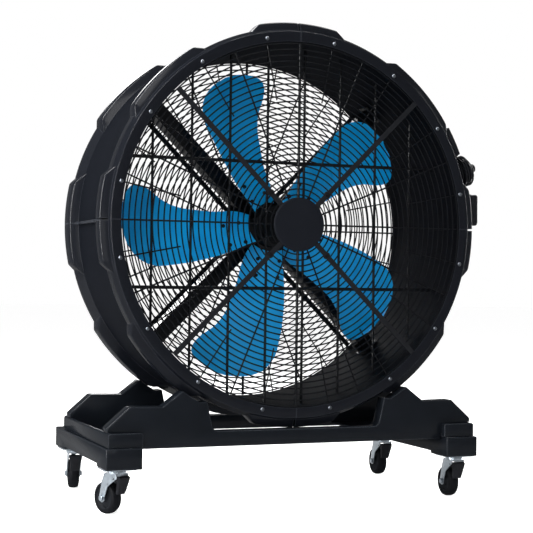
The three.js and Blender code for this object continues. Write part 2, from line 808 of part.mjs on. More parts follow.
// The upper block with its open tray, slotted for the two walls.
function tray(name, side) {
  const c = BLOCK_CHAMFER;
  const section = [
    [BLOCK_X[0], TRAY_BOTTOM],
    [BLOCK_X[1], TRAY_BOTTOM],
    [BLOCK_X[1], RIM_Z - c],
    [BLOCK_X[1] - c, RIM_Z],
    [BLOCK_X[0] + c, RIM_Z],
    [BLOCK_X[0], RIM_Z - c],
  ];
  const turned = section.map(([x, z]) => [side * x, z]);
  const inner = [AXIS_Y - WALL_Y[0] + FIT, AXIS_Y + WALL_Y[0] - FIT];
  const block = solid(frontPlate(shapeOf(turned), BLOCK_Y));
  const floor = sideBox(side, [TRAY_INNER_X, BLOCK_X[1] - 1], inner, [TRAY_BOTTOM, TRAY_TOP]);
  const open = [TRAY_TOP, RIM_Z + 1];
  const hollow = sideBox(side, [BLOCK_X[0] - 1, BLOCK_X[1] - TRAY_WALL], inner, open);
  const slots = [-1, 1].map((end) => {
    const y = WALL_Y.map((face, i) => AXIS_Y + end * (face + (i ? FIT : -FIT)));
    return sideBox(side, [BLOCK_X[0] - 1, BLOCK_X[1] - TRAY_WALL], y, open);
  });
  const made = block.add(floor).subtract(hollow).subtract(slots[0]).subtract(slots[1]);
  return mesh(name, made, MATERIALS.base);
}

// ---- Casters ----

// A pin along X with its ends at these places.
function crossPin(r, x, centre, sides) {
  const pin = revolve(ringSection([0, r], x), sides);
  return solid(pin.rotateZ(-90 * RAD).translate(0, centre[0], centre[1]));
}

// A disc round the swivel axis.
function disc(r, z, sides) {
  return solid(revolve(ringSection([0, r], z), sides).rotateX(90 * RAD));
}

function casterPlate() {
  const [width, depth, thick] = PLATE;
  const top = CASTER_HEIGHT - FIT;
  const under = CASTER_HEIGHT - thick;
  return fuse([
    solid(box([-width / 2, width / 2], [-depth / 2, depth / 2], [under, top])),
    disc(RACE_R - 4, [FORK_TOP + FIT, under + 1], 12),
    disc(KINGPIN_R, [BRIDGE_Z - FIT - 1, under], 10),
    disc(KINGPIN_R + 3.5, [BRIDGE_Z - FIT - 3.5, BRIDGE_Z - FIT], 10),
  ]);
}

function forkLegOutline() {
  const eye = arc(AXLE, FORK_EYE_R, 15, -195, 4);
  return [
    [BRIDGE_Y[0], BRIDGE_Z + FORK_SHEET],
    [BRIDGE_Y[0] - 2, BRIDGE_Z - 9],
    [-12, BRIDGE_Z - 18],
    [14, BRIDGE_Z - 36],
    ...eye.reverse(),
    [TRAIL, BRIDGE_Z - 20],
    [BRIDGE_Y[1], BRIDGE_Z + FORK_SHEET],
  ];
}

function casterFork() {
  const legs = [
    [-LEG_OUT, -LEG_IN],
    [LEG_IN, LEG_OUT],
  ].map((x) => {
    const leg = shapeOf(forkLegOutline());
    leg.holes.push(circleHole(AXLE, AXLE_R + FIT, 8));
    leg.holes.push(circleHole(PEDAL_PIVOT, PEDAL_PIN_R + RUNNING, 6));
    return solid(sidePlate(leg, x));
  });
  const bridge = box([-LEG_OUT, LEG_OUT], BRIDGE_Y, [BRIDGE_Z, BRIDGE_Z + FORK_SHEET]);
  const tab = shapeOf([
    [BRIDGE_Y[1] - 2, BRIDGE_Z],
    [BRIDGE_Y[1] - 2, BRIDGE_Z + FORK_SHEET],
    [40, BRIDGE_Z - 3],
    [45, BRIDGE_Z - 13],
    [42, BRIDGE_Z - 13],
    [38, BRIDGE_Z - 6],
  ]);
  const parts = [...legs, solid(bridge), disc(RACE_R, [BRIDGE_Z + 1, FORK_TOP], 12)];
  parts.push(solid(sidePlate(tab, [-7, 7])));
  const hole = disc(KINGPIN_R + RUNNING, [BRIDGE_Z - 5, FORK_TOP + 5], 10);
  return fuse(parts).subtract(hole);
}

// The tread has flats, and the wheel stands on one of them.
function casterWheel() {
  const bore = AXLE_R + BEARING;
  const half = [
    [bore, HUB_HALF],
    [WHEEL_R - 13, 10],
    [WHEEL_R - 9, TREAD_HALF],
    [WHEEL_R, TREAD_HALF - 6],
  ];
  const outline = [...half, ...half.map(([r, x]) => [r, -x]).reverse()];
  const flatDown = revolve(outline, WHEEL_SIDES).rotateY((180 / WHEEL_SIDES) * RAD);
  return solid(flatDown.rotateZ(-90 * RAD).translate(0, ...AXLE));
}

function axleBolt() {
  const head = LEG_OUT + FIT;
  return fuse([
    crossPin(AXLE_R, [-head - 1, head + 1], AXLE, 8),
    crossPin(AXLE_HEAD_R, [head, head + AXLE_HEAD], AXLE, 6),
    crossPin(AXLE_HEAD_R, [-head - AXLE_HEAD, -head], AXLE, 6),
  ]);
}

function brakePedal() {
  const half = LEG_IN - FIT;
  const body = solid(sidePlate(shapeOf(PEDAL_OUTLINE), [-half, half]));
  return body.add(crossPin(PEDAL_PIN_R, [-LEG_OUT, LEG_OUT], PEDAL_PIVOT, 6));
}

function casters() {
  const built = new THREE.Group();
  for (const [place, turn] of Object.entries(CASTER_TURN)) {
    const [end, side] = place.split("_");
    const fixed = new THREE.Group();
    fixed.position.set(side === "left" ? -CASTER_X : CASTER_X, CASTER_Y[end], 0);
    const swivel = new THREE.Group();
    swivel.rotation.z = turn * RAD;
    fixed.add(mesh("caster_plate_" + place, casterPlate(), MATERIALS.zinc), swivel);
    swivel.add(mesh("caster_fork_" + place, casterFork(), MATERIALS.zinc));
    swivel.add(mesh("caster_wheel_" + place, casterWheel(), MATERIALS.tyre));
    swivel.add(mesh("caster_axle_bolt_" + place, axleBolt(), MATERIALS.zinc));
    swivel.add(mesh("brake_pedal_" + place, brakePedal(), MATERIALS.pedal));
    built.add(fixed);
  }
  return built;
}

// ---- Control box, knob, cover and cord post ----

function roundedBox(y, z) {
  const r = BOX_CORNER;
  return shapeOf([
    ...arc([y[1] - r, z[1] - r], r, 0, 90, 3),
    ...arc([y[0] + r, z[1] - r], r, 90, 180, 3),
    ...arc([y[0] + r, z[0] + r], r, 180, 270, 3),
    ...arc([y[1] - r, z[0] + r], r, 270, 360, 3),
  ]);
}

function controlBoxBase() {
  const inside = RECESS_R * Math.cos(Math.asin(BOX_Z[1] / RECESS_R)) - 5;
  const made = solid(sidePlate(roundedBox(BOX_Y, BOX_Z), [inside, BOX_X[0]]));
  return mesh("control_box_base", seatOnRecess(made), MATERIALS.cover);
}

function controlBoxLid() {
  const rim = 1.5; // the lid stands this much inside the base's outline at its face
  const y = [BOX_Y[0] + LID_BEVEL + rim, BOX_Y[1] - LID_BEVEL - rim];
  const z = [BOX_Z[0] + LID_BEVEL + rim, BOX_Z[1] - LID_BEVEL - rim];
  const depth = BOX_X[1] - BOX_X[0] - FIT - 2 * LID_BEVEL;
  const lid = new THREE.ExtrudeGeometry(roundedBox(y, z), {
    depth,
    bevelThickness: LID_BEVEL,
    bevelSize: LID_BEVEL,
    bevelSegments: 1,
    curveSegments: 6,
  });
  lid.applyMatrix4(SIDE_VIEW).translate(BOX_X[0] + FIT + LID_BEVEL, 0, 0);
  return mesh("control_box_lid", solid(lid), MATERIALS.cover);
}

function speedKnob() {
  const seat = BOX_Y[1] + FIT;
  const skirt = revolve(
    [
      [0, seat],
      [KNOB_R, seat],
      [KNOB_R - 1, seat + KNOB_DEPTH / 2],
      [0, seat + KNOB_DEPTH / 2],
    ],
    20,
  );
  const grip = box(
    [-KNOB_GRIP / 2, KNOB_GRIP / 2],
    [seat + 1, seat + KNOB_DEPTH],
    [-KNOB_R + 2, KNOB_R - 2],
  );
  const centre = (BOX_Z[0] + BOX_Z[1]) / 2;
  const knob = mesh("speed_knob", solid(skirt).add(solid(grip)), MATERIALS.cover);
  knob.position.set(KNOB_X, 0, centre);
  return knob;
}

function terminalCover() {
  const [from, to] = COVER_ANGLES;
  const outline = [
    ...arc([0, 0], COVER_R[0], from, to, 3),
    ...arc([0, 0], COVER_R[1], to - 0.5, from + 0.5, 3),
  ];
  const plate = solid(frontPlate(shapeOf(outline), COVER_Y));
  const feet = [from + 1, to - 2].map((angle) => {
    const foot = [
      polar(RECESS_R - 5, angle),
      polar(RECESS_R - 5, angle + 1),
      polar(COVER_R[0] + 2, angle + 1),
      polar(COVER_R[0] + 2, angle),
    ];
    return solid(frontPlate(shapeOf(foot), COVER_FOOT_Y));
  });
  return mesh("terminal_cover", seatOnRecess(fuse([plate, ...feet])), MATERIALS.cover);
}

// The post is modelled along X and turned to its angle.
function cordPost() {
  const turned = (outline) => {
    const geometry = revolve(outline, 16).rotateZ(-90 * RAD).translate(0, POST_Y, 0);
    return solid(atAngle(geometry, POST_ANGLE));
  };
  const root = RECESS_R - 6;
  const post = turned([
    [0, root],
    [POST_FLANGE_R, root],
    [POST_FLANGE_R, RECESS_R + POST_FLANGE],
    [POST_R, RECESS_R + POST_FLANGE + 2],
    [POST_R, POST_REACH - 14],
    [POST_END_R, POST_REACH - 3],
    [POST_END_R - 2, POST_REACH],
    [0, POST_REACH],
  ]);
  const wing = COIL_INNER_R - CORD_D / 2 - FIT;
  const x = [COIL_START - CORD_D / 2, COIL_START + INNER_TURNS * COIL_PITCH + CORD_D / 2];
  const level = box(x, [POST_Y - wing, POST_Y + wing], [-2, 2]);
  const upright = box(x, [POST_Y - 2, POST_Y + 2], [-wing, wing]);
  const wings = [level, upright].map((plate) => solid(atAngle(plate, POST_ANGLE)));
  return mesh("cord_post", seatOnRecess(fuse([post, ...wings])), MATERIALS.cover);
}

// ---- Mains lead ----

const OUTWARD = new THREE.Vector3(Math.cos(POST_ANGLE * RAD), 0, Math.sin(POST_ANGLE * RAD));
const UPWARD = new THREE.Vector3(-OUTWARD.z, 0, OUTWARD.x);
const REARWARD = new THREE.Vector3(0, 1, 0);

// A point on the post's own axes: out along it, up across it and rearward.
function nearPost(out, up, rear) {
  return new THREE.Vector3(0, POST_Y, 0)
    .addScaledVector(OUTWARD, out)
    .addScaledVector(UPWARD, up)
    .addScaledVector(REARWARD, rear);
}

// The winding climbs outward in the inner layer, steps up, and comes back in the outer one.
function windingPoint(turn) {
  const farthest = INNER_TURNS + REVERSAL / 2;
  const climb = farthest - Math.abs(turn - farthest);
  const step = Math.min(1, Math.max(0, (turn - INNER_TURNS) / REVERSAL));
  const r = COIL_INNER_R + COIL_LAYER * step * step * (3 - 2 * step);
  const angle = 2 * Math.PI * turn;
  const out = COIL_START + COIL_PITCH * climb;
  return nearPost(out, r * Math.sin(angle), r * Math.cos(angle));
}

const COIL_TURNS = INNER_TURNS + REVERSAL + OUTER_TURNS;

function coilPath() {
  const steps = Math.round(COIL_TURNS * TURN_STEPS);
  const points = [nearPost(COIL_START, -CORD_D, COIL_INNER_R)];
  for (let i = 0; i <= steps; i++) points.push(windingPoint((i / steps) * COIL_TURNS));
  const last = points[points.length - 1];
  points.push(last.clone().addScaledVector(REARWARD, CORD_D));
  return points;
}

// One unbroken tube of flat-sided rings along the points, with closed ends.
function tubeAlong(points, r, sides, firstWay, lastWay) {
  const rings = [];
  let normal = OUTWARD.clone();
  points.forEach((point, i) => {
    const way = new THREE.Vector3();
    if (i === 0) way.copy(firstWay);
    else if (i === points.length - 1) way.copy(lastWay);
    else way.subVectors(points[i + 1], points[i - 1]).normalize();
    normal = normal.addScaledVector(way, -normal.dot(way)).normalize();
    const side = new THREE.Vector3().crossVectors(way, normal);
    const ring = [];
    for (let k = 0; k < sides; k++) {
      const angle = (2 * Math.PI * k) / sides;
      const corner = point.clone().addScaledVector(normal, r * Math.cos(angle));
      ring.push(corner.addScaledVector(side, r * Math.sin(angle)));
    }
    rings.push(ring);
  });
  const positions = [];
  const triangle = (...corners) => corners.forEach((c) => positions.push(c.x, c.y, c.z));
  for (let i = 0; i + 1 < rings.length; i++) {
    for (let k = 0; k < sides; k++) {
      const n = (k + 1) % sides;
      triangle(rings[i][k], rings[i][n], rings[i + 1][n]);
      triangle(rings[i][k], rings[i + 1][n], rings[i + 1][k]);
    }
  }
  const end = rings[rings.length - 1];
  for (let k = 1; k + 1 < sides; k++) {
    triangle(rings[0][0], rings[0][k + 1], rings[0][k]);
    triangle(end[0], end[k], end[k + 1]);
  }
  const geometry = new THREE.BufferGeometry();
  geometry.setAttribute("position", new THREE.Float32BufferAttribute(positions, 3));
  return geometry;
}

function lengthOf(points) {
  return points.slice(1).reduce((sum, point, i) => sum + point.distanceTo(points[i]), 0);
}

// The least gap between turns, measured between points at least half a turn apart.
function leastTurnGap(points) {
  let least = Infinity;
  for (let i = 0; i < points.length; i++) {
    for (let j = i + TURN_STEPS / 2; j < points.length; j++) {
      least = Math.min(least, points[i].distanceTo(points[j]));
    }
  }
  return least - CORD_D;
}

function tubeOnCurve(curve, steps) {
  const section = shapeOf(arc([0, 0], CORD_D / 2, 0, 360, CORD_SIDES).slice(0, CORD_SIDES));
  return new THREE.ExtrudeGeometry(section, { steps, extrudePath: curve });
}

// The lead: out of the relief on the box, and up into the first turn.
function leadEnds() {
  const end = nearPost(COIL_START, -CORD_D - FIT, COIL_INNER_R);
  const low = BOX_Z[1] + FIT + RELIEF_LENGTH + FIT;
  const lean = Math.tan((POST_ANGLE / 2) * RAD) * (end.z - low);
  return [new THREE.Vector3(end.x + lean, end.y, low), end];
}

function leadCurve() {
  const [start, end] = leadEnds();
  const third = start.distanceTo(end) / 3;
  const up = start.clone().add(new THREE.Vector3(0, 0, third));
  const before = end.clone().addScaledVector(UPWARD, -third);
  return new THREE.CubicBezierCurve3(start, up, before, end);
}

function reliefCone() {
  const [start] = leadEnds();
  const outline = [
    [0, 0],
    [RELIEF_R[0], 0],
    [RELIEF_R[0], 4],
    [RELIEF_R[1], RELIEF_LENGTH],
    [0, RELIEF_LENGTH],
  ];
  const cone = revolve(outline, 12).rotateX(90 * RAD);
  return solid(cone.translate(start.x, start.y, BOX_Z[1] + FIT));
}

// The tail: rearward off the last turn, and down in one bend to the plug.
function tailCurve() {
  const start = coilPath().pop().addScaledVector(REARWARD, FIT);
  const bendStart = start.clone().addScaledVector(REARWARD, TAIL_RUN);
  const corner = bendStart.clone().addScaledVector(REARWARD, TAIL_BEND);
  const bendEnd = corner.clone().add(new THREE.Vector3(0, 0, -TAIL_BEND));
  const end = bendEnd.clone().add(new THREE.Vector3(0, 0, -TAIL_DROP));
  const handle = TAIL_BEND * 0.5523;
  const path = new THREE.CurvePath();
  path.add(new THREE.LineCurve3(start, bendStart));
  path.add(
    new THREE.CubicBezierCurve3(
      bendStart,
      bendStart.clone().addScaledVector(REARWARD, handle),
      bendEnd.clone().add(new THREE.Vector3(0, 0, handle)),
      bendEnd,
    ),
  );
  path.add(new THREE.LineCurve3(bendEnd, end));
  return { path, end };
}

function plug(end) {
  const [width, depth, long] = PLUG_BODY;
  const top = end.z - FIT;
  const neck = top - PLUG_NECK;
  const face = neck - long;
  const cone = revolve(
    [
      [0, neck - 2],
      [7.5, neck - 2],
      [5, top],
      [0, top],
    ],
    12,
  );
  const upright = cone.rotateX(90 * RAD).translate(end.x, end.y, 0);
  const body = box(
    [end.x - width / 2, end.x + width / 2],
    [end.y - depth / 2, end.y + depth / 2],
    [face, neck],
  );
  const pins = [-7, 7].map((x) =>
    solid(
      box(
        [end.x + x - 1, end.x + x + 1],
        [end.y - 3, end.y + 3],
        [face - PIN_LENGTH, face + 1],
      ),
    ),
  );
  return fuse([solid(upright), solid(body), ...pins]);
}

function mainsLead() {
  const coil = coilPath();
  const last = REARWARD.clone();
  const winding = tubeAlong(coil, CORD_D / 2, COIL_SIDES, UPWARD, last);
  const lead = leadCurve();
  const tail = tailCurve();
  const total = (lead.getLength() + lengthOf(coil) + tail.path.getLength()) / 1000;
  console.log(`mains lead ${total.toFixed(2)} m, turns ${leastTurnGap(coil).toFixed(2)} mm apart`);
  return [
    mesh("strain_relief", reliefCone(), MATERIALS.cord),
    mesh("cord_lead", solid(tubeOnCurve(lead, 4)), MATERIALS.cord),
    mesh("cord_coil", solid(winding), MATERIALS.cord),
    mesh("cord_tail", solid(tubeOnCurve(tail.path, 12)), MATERIALS.cord),
    mesh("plug", plug(tail.end), MATERIALS.cord),
  ];
}

// ---- The whole fan ----

const drumGroup = new THREE.Group();
drumGroup.position.set(0, AXIS_Y, AXIS_HEIGHT);
drumGroup.add(...drumQuadrants());
drumGroup.add(grille("front_grille", [-DRUM_HALF_DEPTH, -DRUM_HALF_DEPTH + GRILLE_THICK]));
drumGroup.add(grille("rear_grille", [DRUM_HALF_DEPTH - GRILLE_THICK, DRUM_HALF_DEPTH]));
drumGroup.add(centreDisc("front_centre_disc", -1), centreDisc("rear_centre_disc", 1));
drumGroup.add(guardGrid(), motorBody(), motorRearCap(), motorShaft());
["upper_right", "upper_left", "lower_left", "lower_right"].forEach((name, i) => {
  drumGroup.add(motorArm("motor_arm_" + name, 45 + 90 * i));
});
drumGroup.add(bladeHub(), clampPlate());
for (let i = 0; i < BLADES; i++) {
  drumGroup.add(blade("blade_" + (i + 1), FIRST_BLADE + (360 / BLADES) * i));
}
drumGroup.add(controlBoxBase(), controlBoxLid(), speedKnob(), terminalCover(), cordPost());
drumGroup.add(...mainsLead());

const baseGroup = new THREE.Group();
baseGroup.add(cradleWall("cradle_wall_front", [AXIS_Y - WALL_Y[1], AXIS_Y - WALL_Y[0]]));
baseGroup.add(cradleWall("cradle_wall_rear", [AXIS_Y + WALL_Y[0], AXIS_Y + WALL_Y[1]]));
baseGroup.add(endBeam("end_beam_left", -1), endBeam("end_beam_right", 1));
baseGroup.add(tray("base_tray_left", -1), tray("base_tray_right", 1));

const fan = new THREE.Group();
fan.position.set(SIDE_SHIFT, DEPTH_SHIFT, 0);
fan.add(drumGroup, baseGroup, casters());

export default fan;
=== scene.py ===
"""A large drum fan on a wheeled cradle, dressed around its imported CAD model.

Sizes are in millimetres and become metres where a mesh is made. The drum's own sizes are
counted from the middle of its axis, and its angles are seen from the front: 0 is +X, 90 is up.
"""

import json
import math

import bmesh
import bpy
from mathutils import Matrix, Vector


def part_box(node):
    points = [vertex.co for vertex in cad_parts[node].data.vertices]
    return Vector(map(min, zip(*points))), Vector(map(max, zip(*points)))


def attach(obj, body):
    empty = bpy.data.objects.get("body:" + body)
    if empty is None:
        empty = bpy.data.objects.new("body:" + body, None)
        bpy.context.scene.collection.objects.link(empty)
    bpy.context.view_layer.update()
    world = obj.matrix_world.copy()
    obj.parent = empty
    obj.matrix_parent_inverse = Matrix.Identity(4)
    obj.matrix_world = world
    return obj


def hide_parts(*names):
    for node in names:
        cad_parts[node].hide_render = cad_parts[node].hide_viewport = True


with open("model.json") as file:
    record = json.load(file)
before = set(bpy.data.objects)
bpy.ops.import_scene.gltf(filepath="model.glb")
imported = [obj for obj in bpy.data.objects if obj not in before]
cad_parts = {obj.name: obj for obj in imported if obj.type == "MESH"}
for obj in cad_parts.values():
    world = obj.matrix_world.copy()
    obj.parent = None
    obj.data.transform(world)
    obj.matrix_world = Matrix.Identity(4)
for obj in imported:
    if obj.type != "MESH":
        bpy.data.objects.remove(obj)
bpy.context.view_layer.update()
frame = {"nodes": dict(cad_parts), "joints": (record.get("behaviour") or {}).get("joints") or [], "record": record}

MM = 0.001
# The gap between pieces that fit together, as between the solids
FIT = 0.3
BODY_OF = {n: b for b, ns in frame["record"]["behaviour"]["bodies"].items() for n in ns}
JOINTS = {j["name"]: j for j in frame["joints"]}
CORNERS = ("upper_right", "upper_left", "lower_left", "lower_right")
CASTERS = ("front_left", "front_right", "rear_left", "rear_right")


def middle(node):
    low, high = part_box(node)
    return (low + high) / 2


DISC = middle("front_centre_disc")
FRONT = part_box("front_grille")[0].y
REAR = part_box("rear_grille")[1].y
DRUM = Vector((DISC.x, (FRONT + REAR) / 2, DISC.z))
HALF_DEPTH = (REAR - FRONT) / 2 / MM

# ---- Camera, at the photograph's viewing angle ----

FRAME_PIXELS = 533
FOCAL_PIXELS = 1350.9
SENSOR = 36
CAMERA_FROM_DRUM = Vector((-1565.8, -3894.4, -168.9))
YAW, PITCH, ROLL = 0.38, 0.011, 0.013


def make_camera():
    ahead = Vector(
        (math.sin(YAW) * math.cos(PITCH), math.cos(YAW) * math.cos(PITCH), math.sin(PITCH))
    )
    level = Vector((math.cos(YAW), -math.sin(YAW), 0))
    upright = level.cross(ahead)
    right = level * math.cos(ROLL) + upright * math.sin(ROLL)
    up = upright * math.cos(ROLL) - level * math.sin(ROLL)
    data = bpy.data.cameras.new("camera")
    data.sensor_width = SENSOR
    data.lens = FOCAL_PIXELS * SENSOR / FRAME_PIXELS
    camera = bpy.data.objects.new("camera", data)
    turn = Matrix((right, up, -ahead)).transposed().to_4x4()
    camera.matrix_world = Matrix.Translation(DRUM + CAMERA_FROM_DRUM * MM) @ turn
    bpy.context.scene.collection.objects.link(camera)
    bpy.context.scene.camera = camera


make_camera()

# ---- Nodes, colours and materials ----


def feed(tree, socket, value):
    """Sets a socket to a value, or links it to the output that feeds it."""
    if isinstance(value, bpy.types.NodeSocket):
        tree.links.new(value, socket)
    else:
        socket.default_value = value


def add_node(tree, kind, inputs=None, **settings):
    """Adds a node; its settings come first, since they can change its sockets."""
    made = tree.nodes.new(kind)
    for name, value in settings.items():
        setattr(made, name, value)
    for socket, value in (inputs or {}).items():
        feed(tree, made.inputs[socket], value)
    return made


def output(tree, kind, inputs=None, **settings):
    """The first output of a new node."""
    return add_node(tree, kind, inputs, **settings).outputs[0]


def calc(tree, operation, *values):
    """The output of a Math node on these values and outputs."""
    return output(tree, "ShaderNodeMath", dict(enumerate(values)), operation=operation)


def ranged(tree, value, start, end, low, high):
    """What goes from low to high while the value goes from start to end."""
    names = ("Value", "From Min", "From Max", "To Min", "To Max")
    return output(tree, "ShaderNodeMapRange", dict(zip(names, (value, start, end, low, high))))


def linear(hexa):
    """An sRGB hex colour as linear RGBA."""
    channels = [int(hexa[i : i + 2], 16) / 255 for i in (1, 3, 5)]
    return [c / 12.92 if c <= 0.04045 else ((c + 0.055) / 1.055) ** 2.4 for c in channels] + [1]


def noise(tree, place, size_mm, **inputs):
    """A noise on coordinates in metres whose features are this size."""
    scale = 1 / (size_mm * MM)
    return output(tree, "ShaderNodeTexNoise", {"Vector": place, "Scale": scale, **inputs})


def mixed(tree, factor, first, second):
    """The colour output between two colours; the Mix node's sockets share names, so go by type."""
    mix = add_node(tree, "ShaderNodeMix", {"Factor": factor}, data_type="RGBA")
    sockets = [s for s in mix.inputs if s.type == "RGBA"]
    for socket, value in zip(sockets, (first, second)):
        feed(tree, socket, value)
    return next(s for s in mix.outputs if s.type == "RGBA")


# The pale band at an edge, a painted highlight with some wear: its reach in millimetres, the cosines
# of bend at which it starts and is full, and how much of the paler colour it then holds.
EDGE_HIGHLIGHT_BAND = 5
HIGHLIGHT_FROM, HIGHLIGHT_FULL = 0.99, 0.82
HIGHLIGHT_MOST = 0.9


def edge_highlight_and_wear(tree, colour, patches, pale):
    """The colour, mixed with a paler one in a narrow band at the edges: a painted highlight along them, with some
    wear.
    """
    rounded = add_node(tree, "ShaderNodeBevel", {"Radius": EDGE_HIGHLIGHT_BAND * MM}, samples=4)
    surface = add_node(tree, "ShaderNodeNewGeometry")
    likeness = add_node(
        tree,
        "ShaderNodeVectorMath",
        {0: rounded.outputs["Normal"], 1: surface.outputs["Normal"]},
        operation="DOT_PRODUCT",
    ).outputs["Value"]
    bend = ranged(tree, likeness, HIGHLIGHT_FROM, HIGHLIGHT_FULL, 0.0, HIGHLIGHT_MOST)
    return mixed(tree, calc(tree, "MULTIPLY", bend, patches), colour, linear(pale))


# Nearly all of a noise lies between these values.
NOISE_LOW, NOISE_HIGH = 0.3, 0.7
GRAIN_STRENGTH = 0.5


def finish(name, dark, light, rough, patch_mm, grain_mm, grain_depth_mm, edge_highlight=None, **surface):
    """A finish whose colour and roughness drift in patches, over a fine raised grain, with a painted edge
    highlight if given.
    """
    material = bpy.data.materials.new(name)
    material.use_nodes = True
    tree = material.node_tree
    shader = tree.nodes["Principled BSDF"]
    place = add_node(tree, "ShaderNodeTexCoord").outputs["Object"]
    patches = noise(tree, place, patch_mm, Detail=5, Roughness=0.6)
    colour = mixed(tree, patches, linear(dark), linear(light))
    # A pale band at the edges: a painted highlight, with some wear.
    if edge_highlight:
        colour = edge_highlight_and_wear(tree, colour, patches, edge_highlight)
    roughness = ranged(tree, patches, NOISE_LOW, NOISE_HIGH, *rough)
    grain = noise(tree, place, grain_mm, Detail=3)
    bump = add_node(
        tree,
        "ShaderNodeBump",
        {"Height": grain, "Distance": grain_depth_mm * MM, "Strength": GRAIN_STRENGTH},
    )
    feed(tree, shader.inputs["Base Color"], colour)
    feed(tree, shader.inputs["Roughness"], roughness)
    for socket in ("Normal", "Coat Normal"):
        feed(tree, shader.inputs[socket], bump.outputs["Normal"])
    for socket, value in surface.items():
        shader.inputs[socket.replace("_", " ")].default_value = value
    return material


# The black plastics keep a thin gloss in the coat, so a bright room doesn't grey them.
SATIN = {"Specular_IOR_Level": 0.0, "Coat_Weight": 0.08, "Coat_Roughness": 0.14, "Coat_IOR": 1.5}
GLOSS = {**SATIN, "Coat_Weight": 0.12}
MATT = {"Specular_IOR_Level": 0.0, "Coat_Weight": 0.03, "Coat_Roughness": 0.5, "Coat_IOR": 1.5}
# Rotary-moulded polyethylene: satin, with a soft orange peel that spreads each highlight, and a painted highlight
# in a pale band along its edges.
DRUM_POLYETHYLENE = finish(
    "drum_polyethylene", "#0f1116", "#15171c", (0.34, 0.46), 90, 2.5, 0.05, edge_highlight="#45484e", **SATIN
)
# The drum's inside and the channel round it: the same plastic, matt, and painted darker as shade.
SHADED_LINER_POLYETHYLENE = finish(
    "shaded_liner_polyethylene", "#0b0d11", "#101217", (0.45, 0.55), 90, 2.5, 0.08, **MATT
)
# The base's polyethylene, from a blasted mould: a little rougher, with a painted highlight, partly scuffing, in a
# pale band along its edges.
BASE_POLYETHYLENE = finish(
    "base_polyethylene", "#0f1216", "#15181d", (0.38, 0.54), 60, 2, 0.16, edge_highlight="#6c7077", **SATIN
)
# Black powder coat on steel wire and bar: an even low gloss with fine orange peel.
POWDER_COAT = finish("powder_coat", "#0b0c0f", "#101215", (0.32, 0.42), 40, 1.2, 0.05, **GLOSS)
# The same coat, thicker and softer in gloss, on the flat bars.
BAR_COAT = finish("bar_coat", "#17181b", "#1e1f22", (0.34, 0.44), 40, 1.2, 0.05, **SATIN)
# Matt ABS of the centre discs: fine spark-eroded grain, no sharp highlight.
DISC_ABS = finish("disc_abs", "#15171c", "#181a1f", (0.55, 0.62), 50, 0.8, 0.05, **MATT)
# Enamel over cast aluminium: the sand-cast grain shows as a slow ripple.
CAST_ENAMEL = finish("cast_enamel", "#0d0f12", "#131518", (0.38, 0.5), 30, 3, 0.18, **SATIN)
# Glass-filled polypropylene of the blades: bright and glossy, its faint flow marks widened into broad lighter and
# darker patches that paint light and shade.
BLADE_POLYPROPYLENE = finish(
    "blade_polypropylene",
    "#0486d0",
    "#0eb2f6",
    (0.26, 0.34),
    120,
    4,
    0.05,
    IOR=1.49,
    Specular_IOR_Level=0.14,
)
# Bright zinc plate on pressed steel: bluish, its shine broken in patches by handling.
ZINC_PLATE = finish("zinc_plate", "#464c52", "#858c92", (0.24, 0.5), 9, 1.5, 0.03, Metallic=1)
# Ground steel of the shaft.
GROUND_STEEL = finish("ground_steel", "#8d9298", "#a3a8ae", (0.25, 0.36), 20, 1, 0.02, Metallic=1)
# Black oxide on the bolts and the lid's screws: a dull black skin with an oily sheen.
BLACK_OXIDE = finish("black_oxide", "#0c0d0f", "#131417", (0.4, 0.52), 8, 1, 0.02, **SATIN)
# Black zinc on the flange screws: dark metal, brighter where a driver has turned it.
BLACK_ZINC = finish("black_zinc", "#2c2f33", "#43474c", (0.3, 0.42), 4, 1, 0.02, Metallic=0.8)
# Moulded rubber tread.
TYRE_RUBBER = finish("tyre_rubber", "#101113", "#17181b", (0.55, 0.7), 20, 1, 0.08, **MATT)
# Dark grey polypropylene of the wheel centres.
WHEEL_POLYPROPYLENE = finish(
    "wheel_polypropylene", "#1a1c1f", "#232528", (0.42, 0.52), 20, 1, 0.04, **MATT
)
# Black nylon of the pedals, knob, post and covers.
BLACK_NYLON = finish("black_nylon", "#16171a", "#1d1e22", (0.36, 0.48), 30, 0.9, 0.05, **SATIN)
# Black PVC of the mains lead and its plug.
CORD_PVC = finish("cord_pvc", "#101114", "#17181c", (0.28, 0.38), 25, 1.2, 0.03, **SATIN)
# Nickel-plated brass of the plug's pins.
PIN_NICKEL = finish("pin_nickel", "#b9b4a6", "#cbc6b8", (0.2, 0.3), 6, 1, 0.01, Metallic=1)

# ---- Making pieces ----


def settle(name, mesh, material, body, nodes=(), sharp=35):
    """Turns a mesh, already in place and in metres, into a piece of the fan."""
    mesh.name = name
    mesh.materials.clear()
    mesh.materials.append(material)
    mesh.shade_smooth()
    mesh.set_sharp_from_angle(angle=math.radians(sharp))
    obj = bpy.data.objects.new(name, mesh)
    bpy.context.scene.collection.objects.link(obj)
    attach(obj, body)
    if nodes:
        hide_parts(*nodes)
    return obj


# Points nearer than this are one.
WELD = 0.002


def plain_mesh(bm):
    """The bmesh as a mesh, just as it is."""
    mesh = bpy.data.meshes.new("made")
    bm.to_mesh(mesh)
    bm.free()
    return mesh


def mesh_of(bm, place=None):
    """A bmesh in millimetres as a mesh in metres, moved by place, with its faces outwards."""
    bmesh.ops.remove_doubles(bm, verts=bm.verts, dist=WELD)
    bmesh.ops.recalc_face_normals(bm, faces=bm.faces)
    mesh = plain_mesh(bm)
    mesh.transform(Matrix.Diagonal((MM, MM, MM, 1)))
    if place is not None:
        mesh.transform(place)
    return mesh


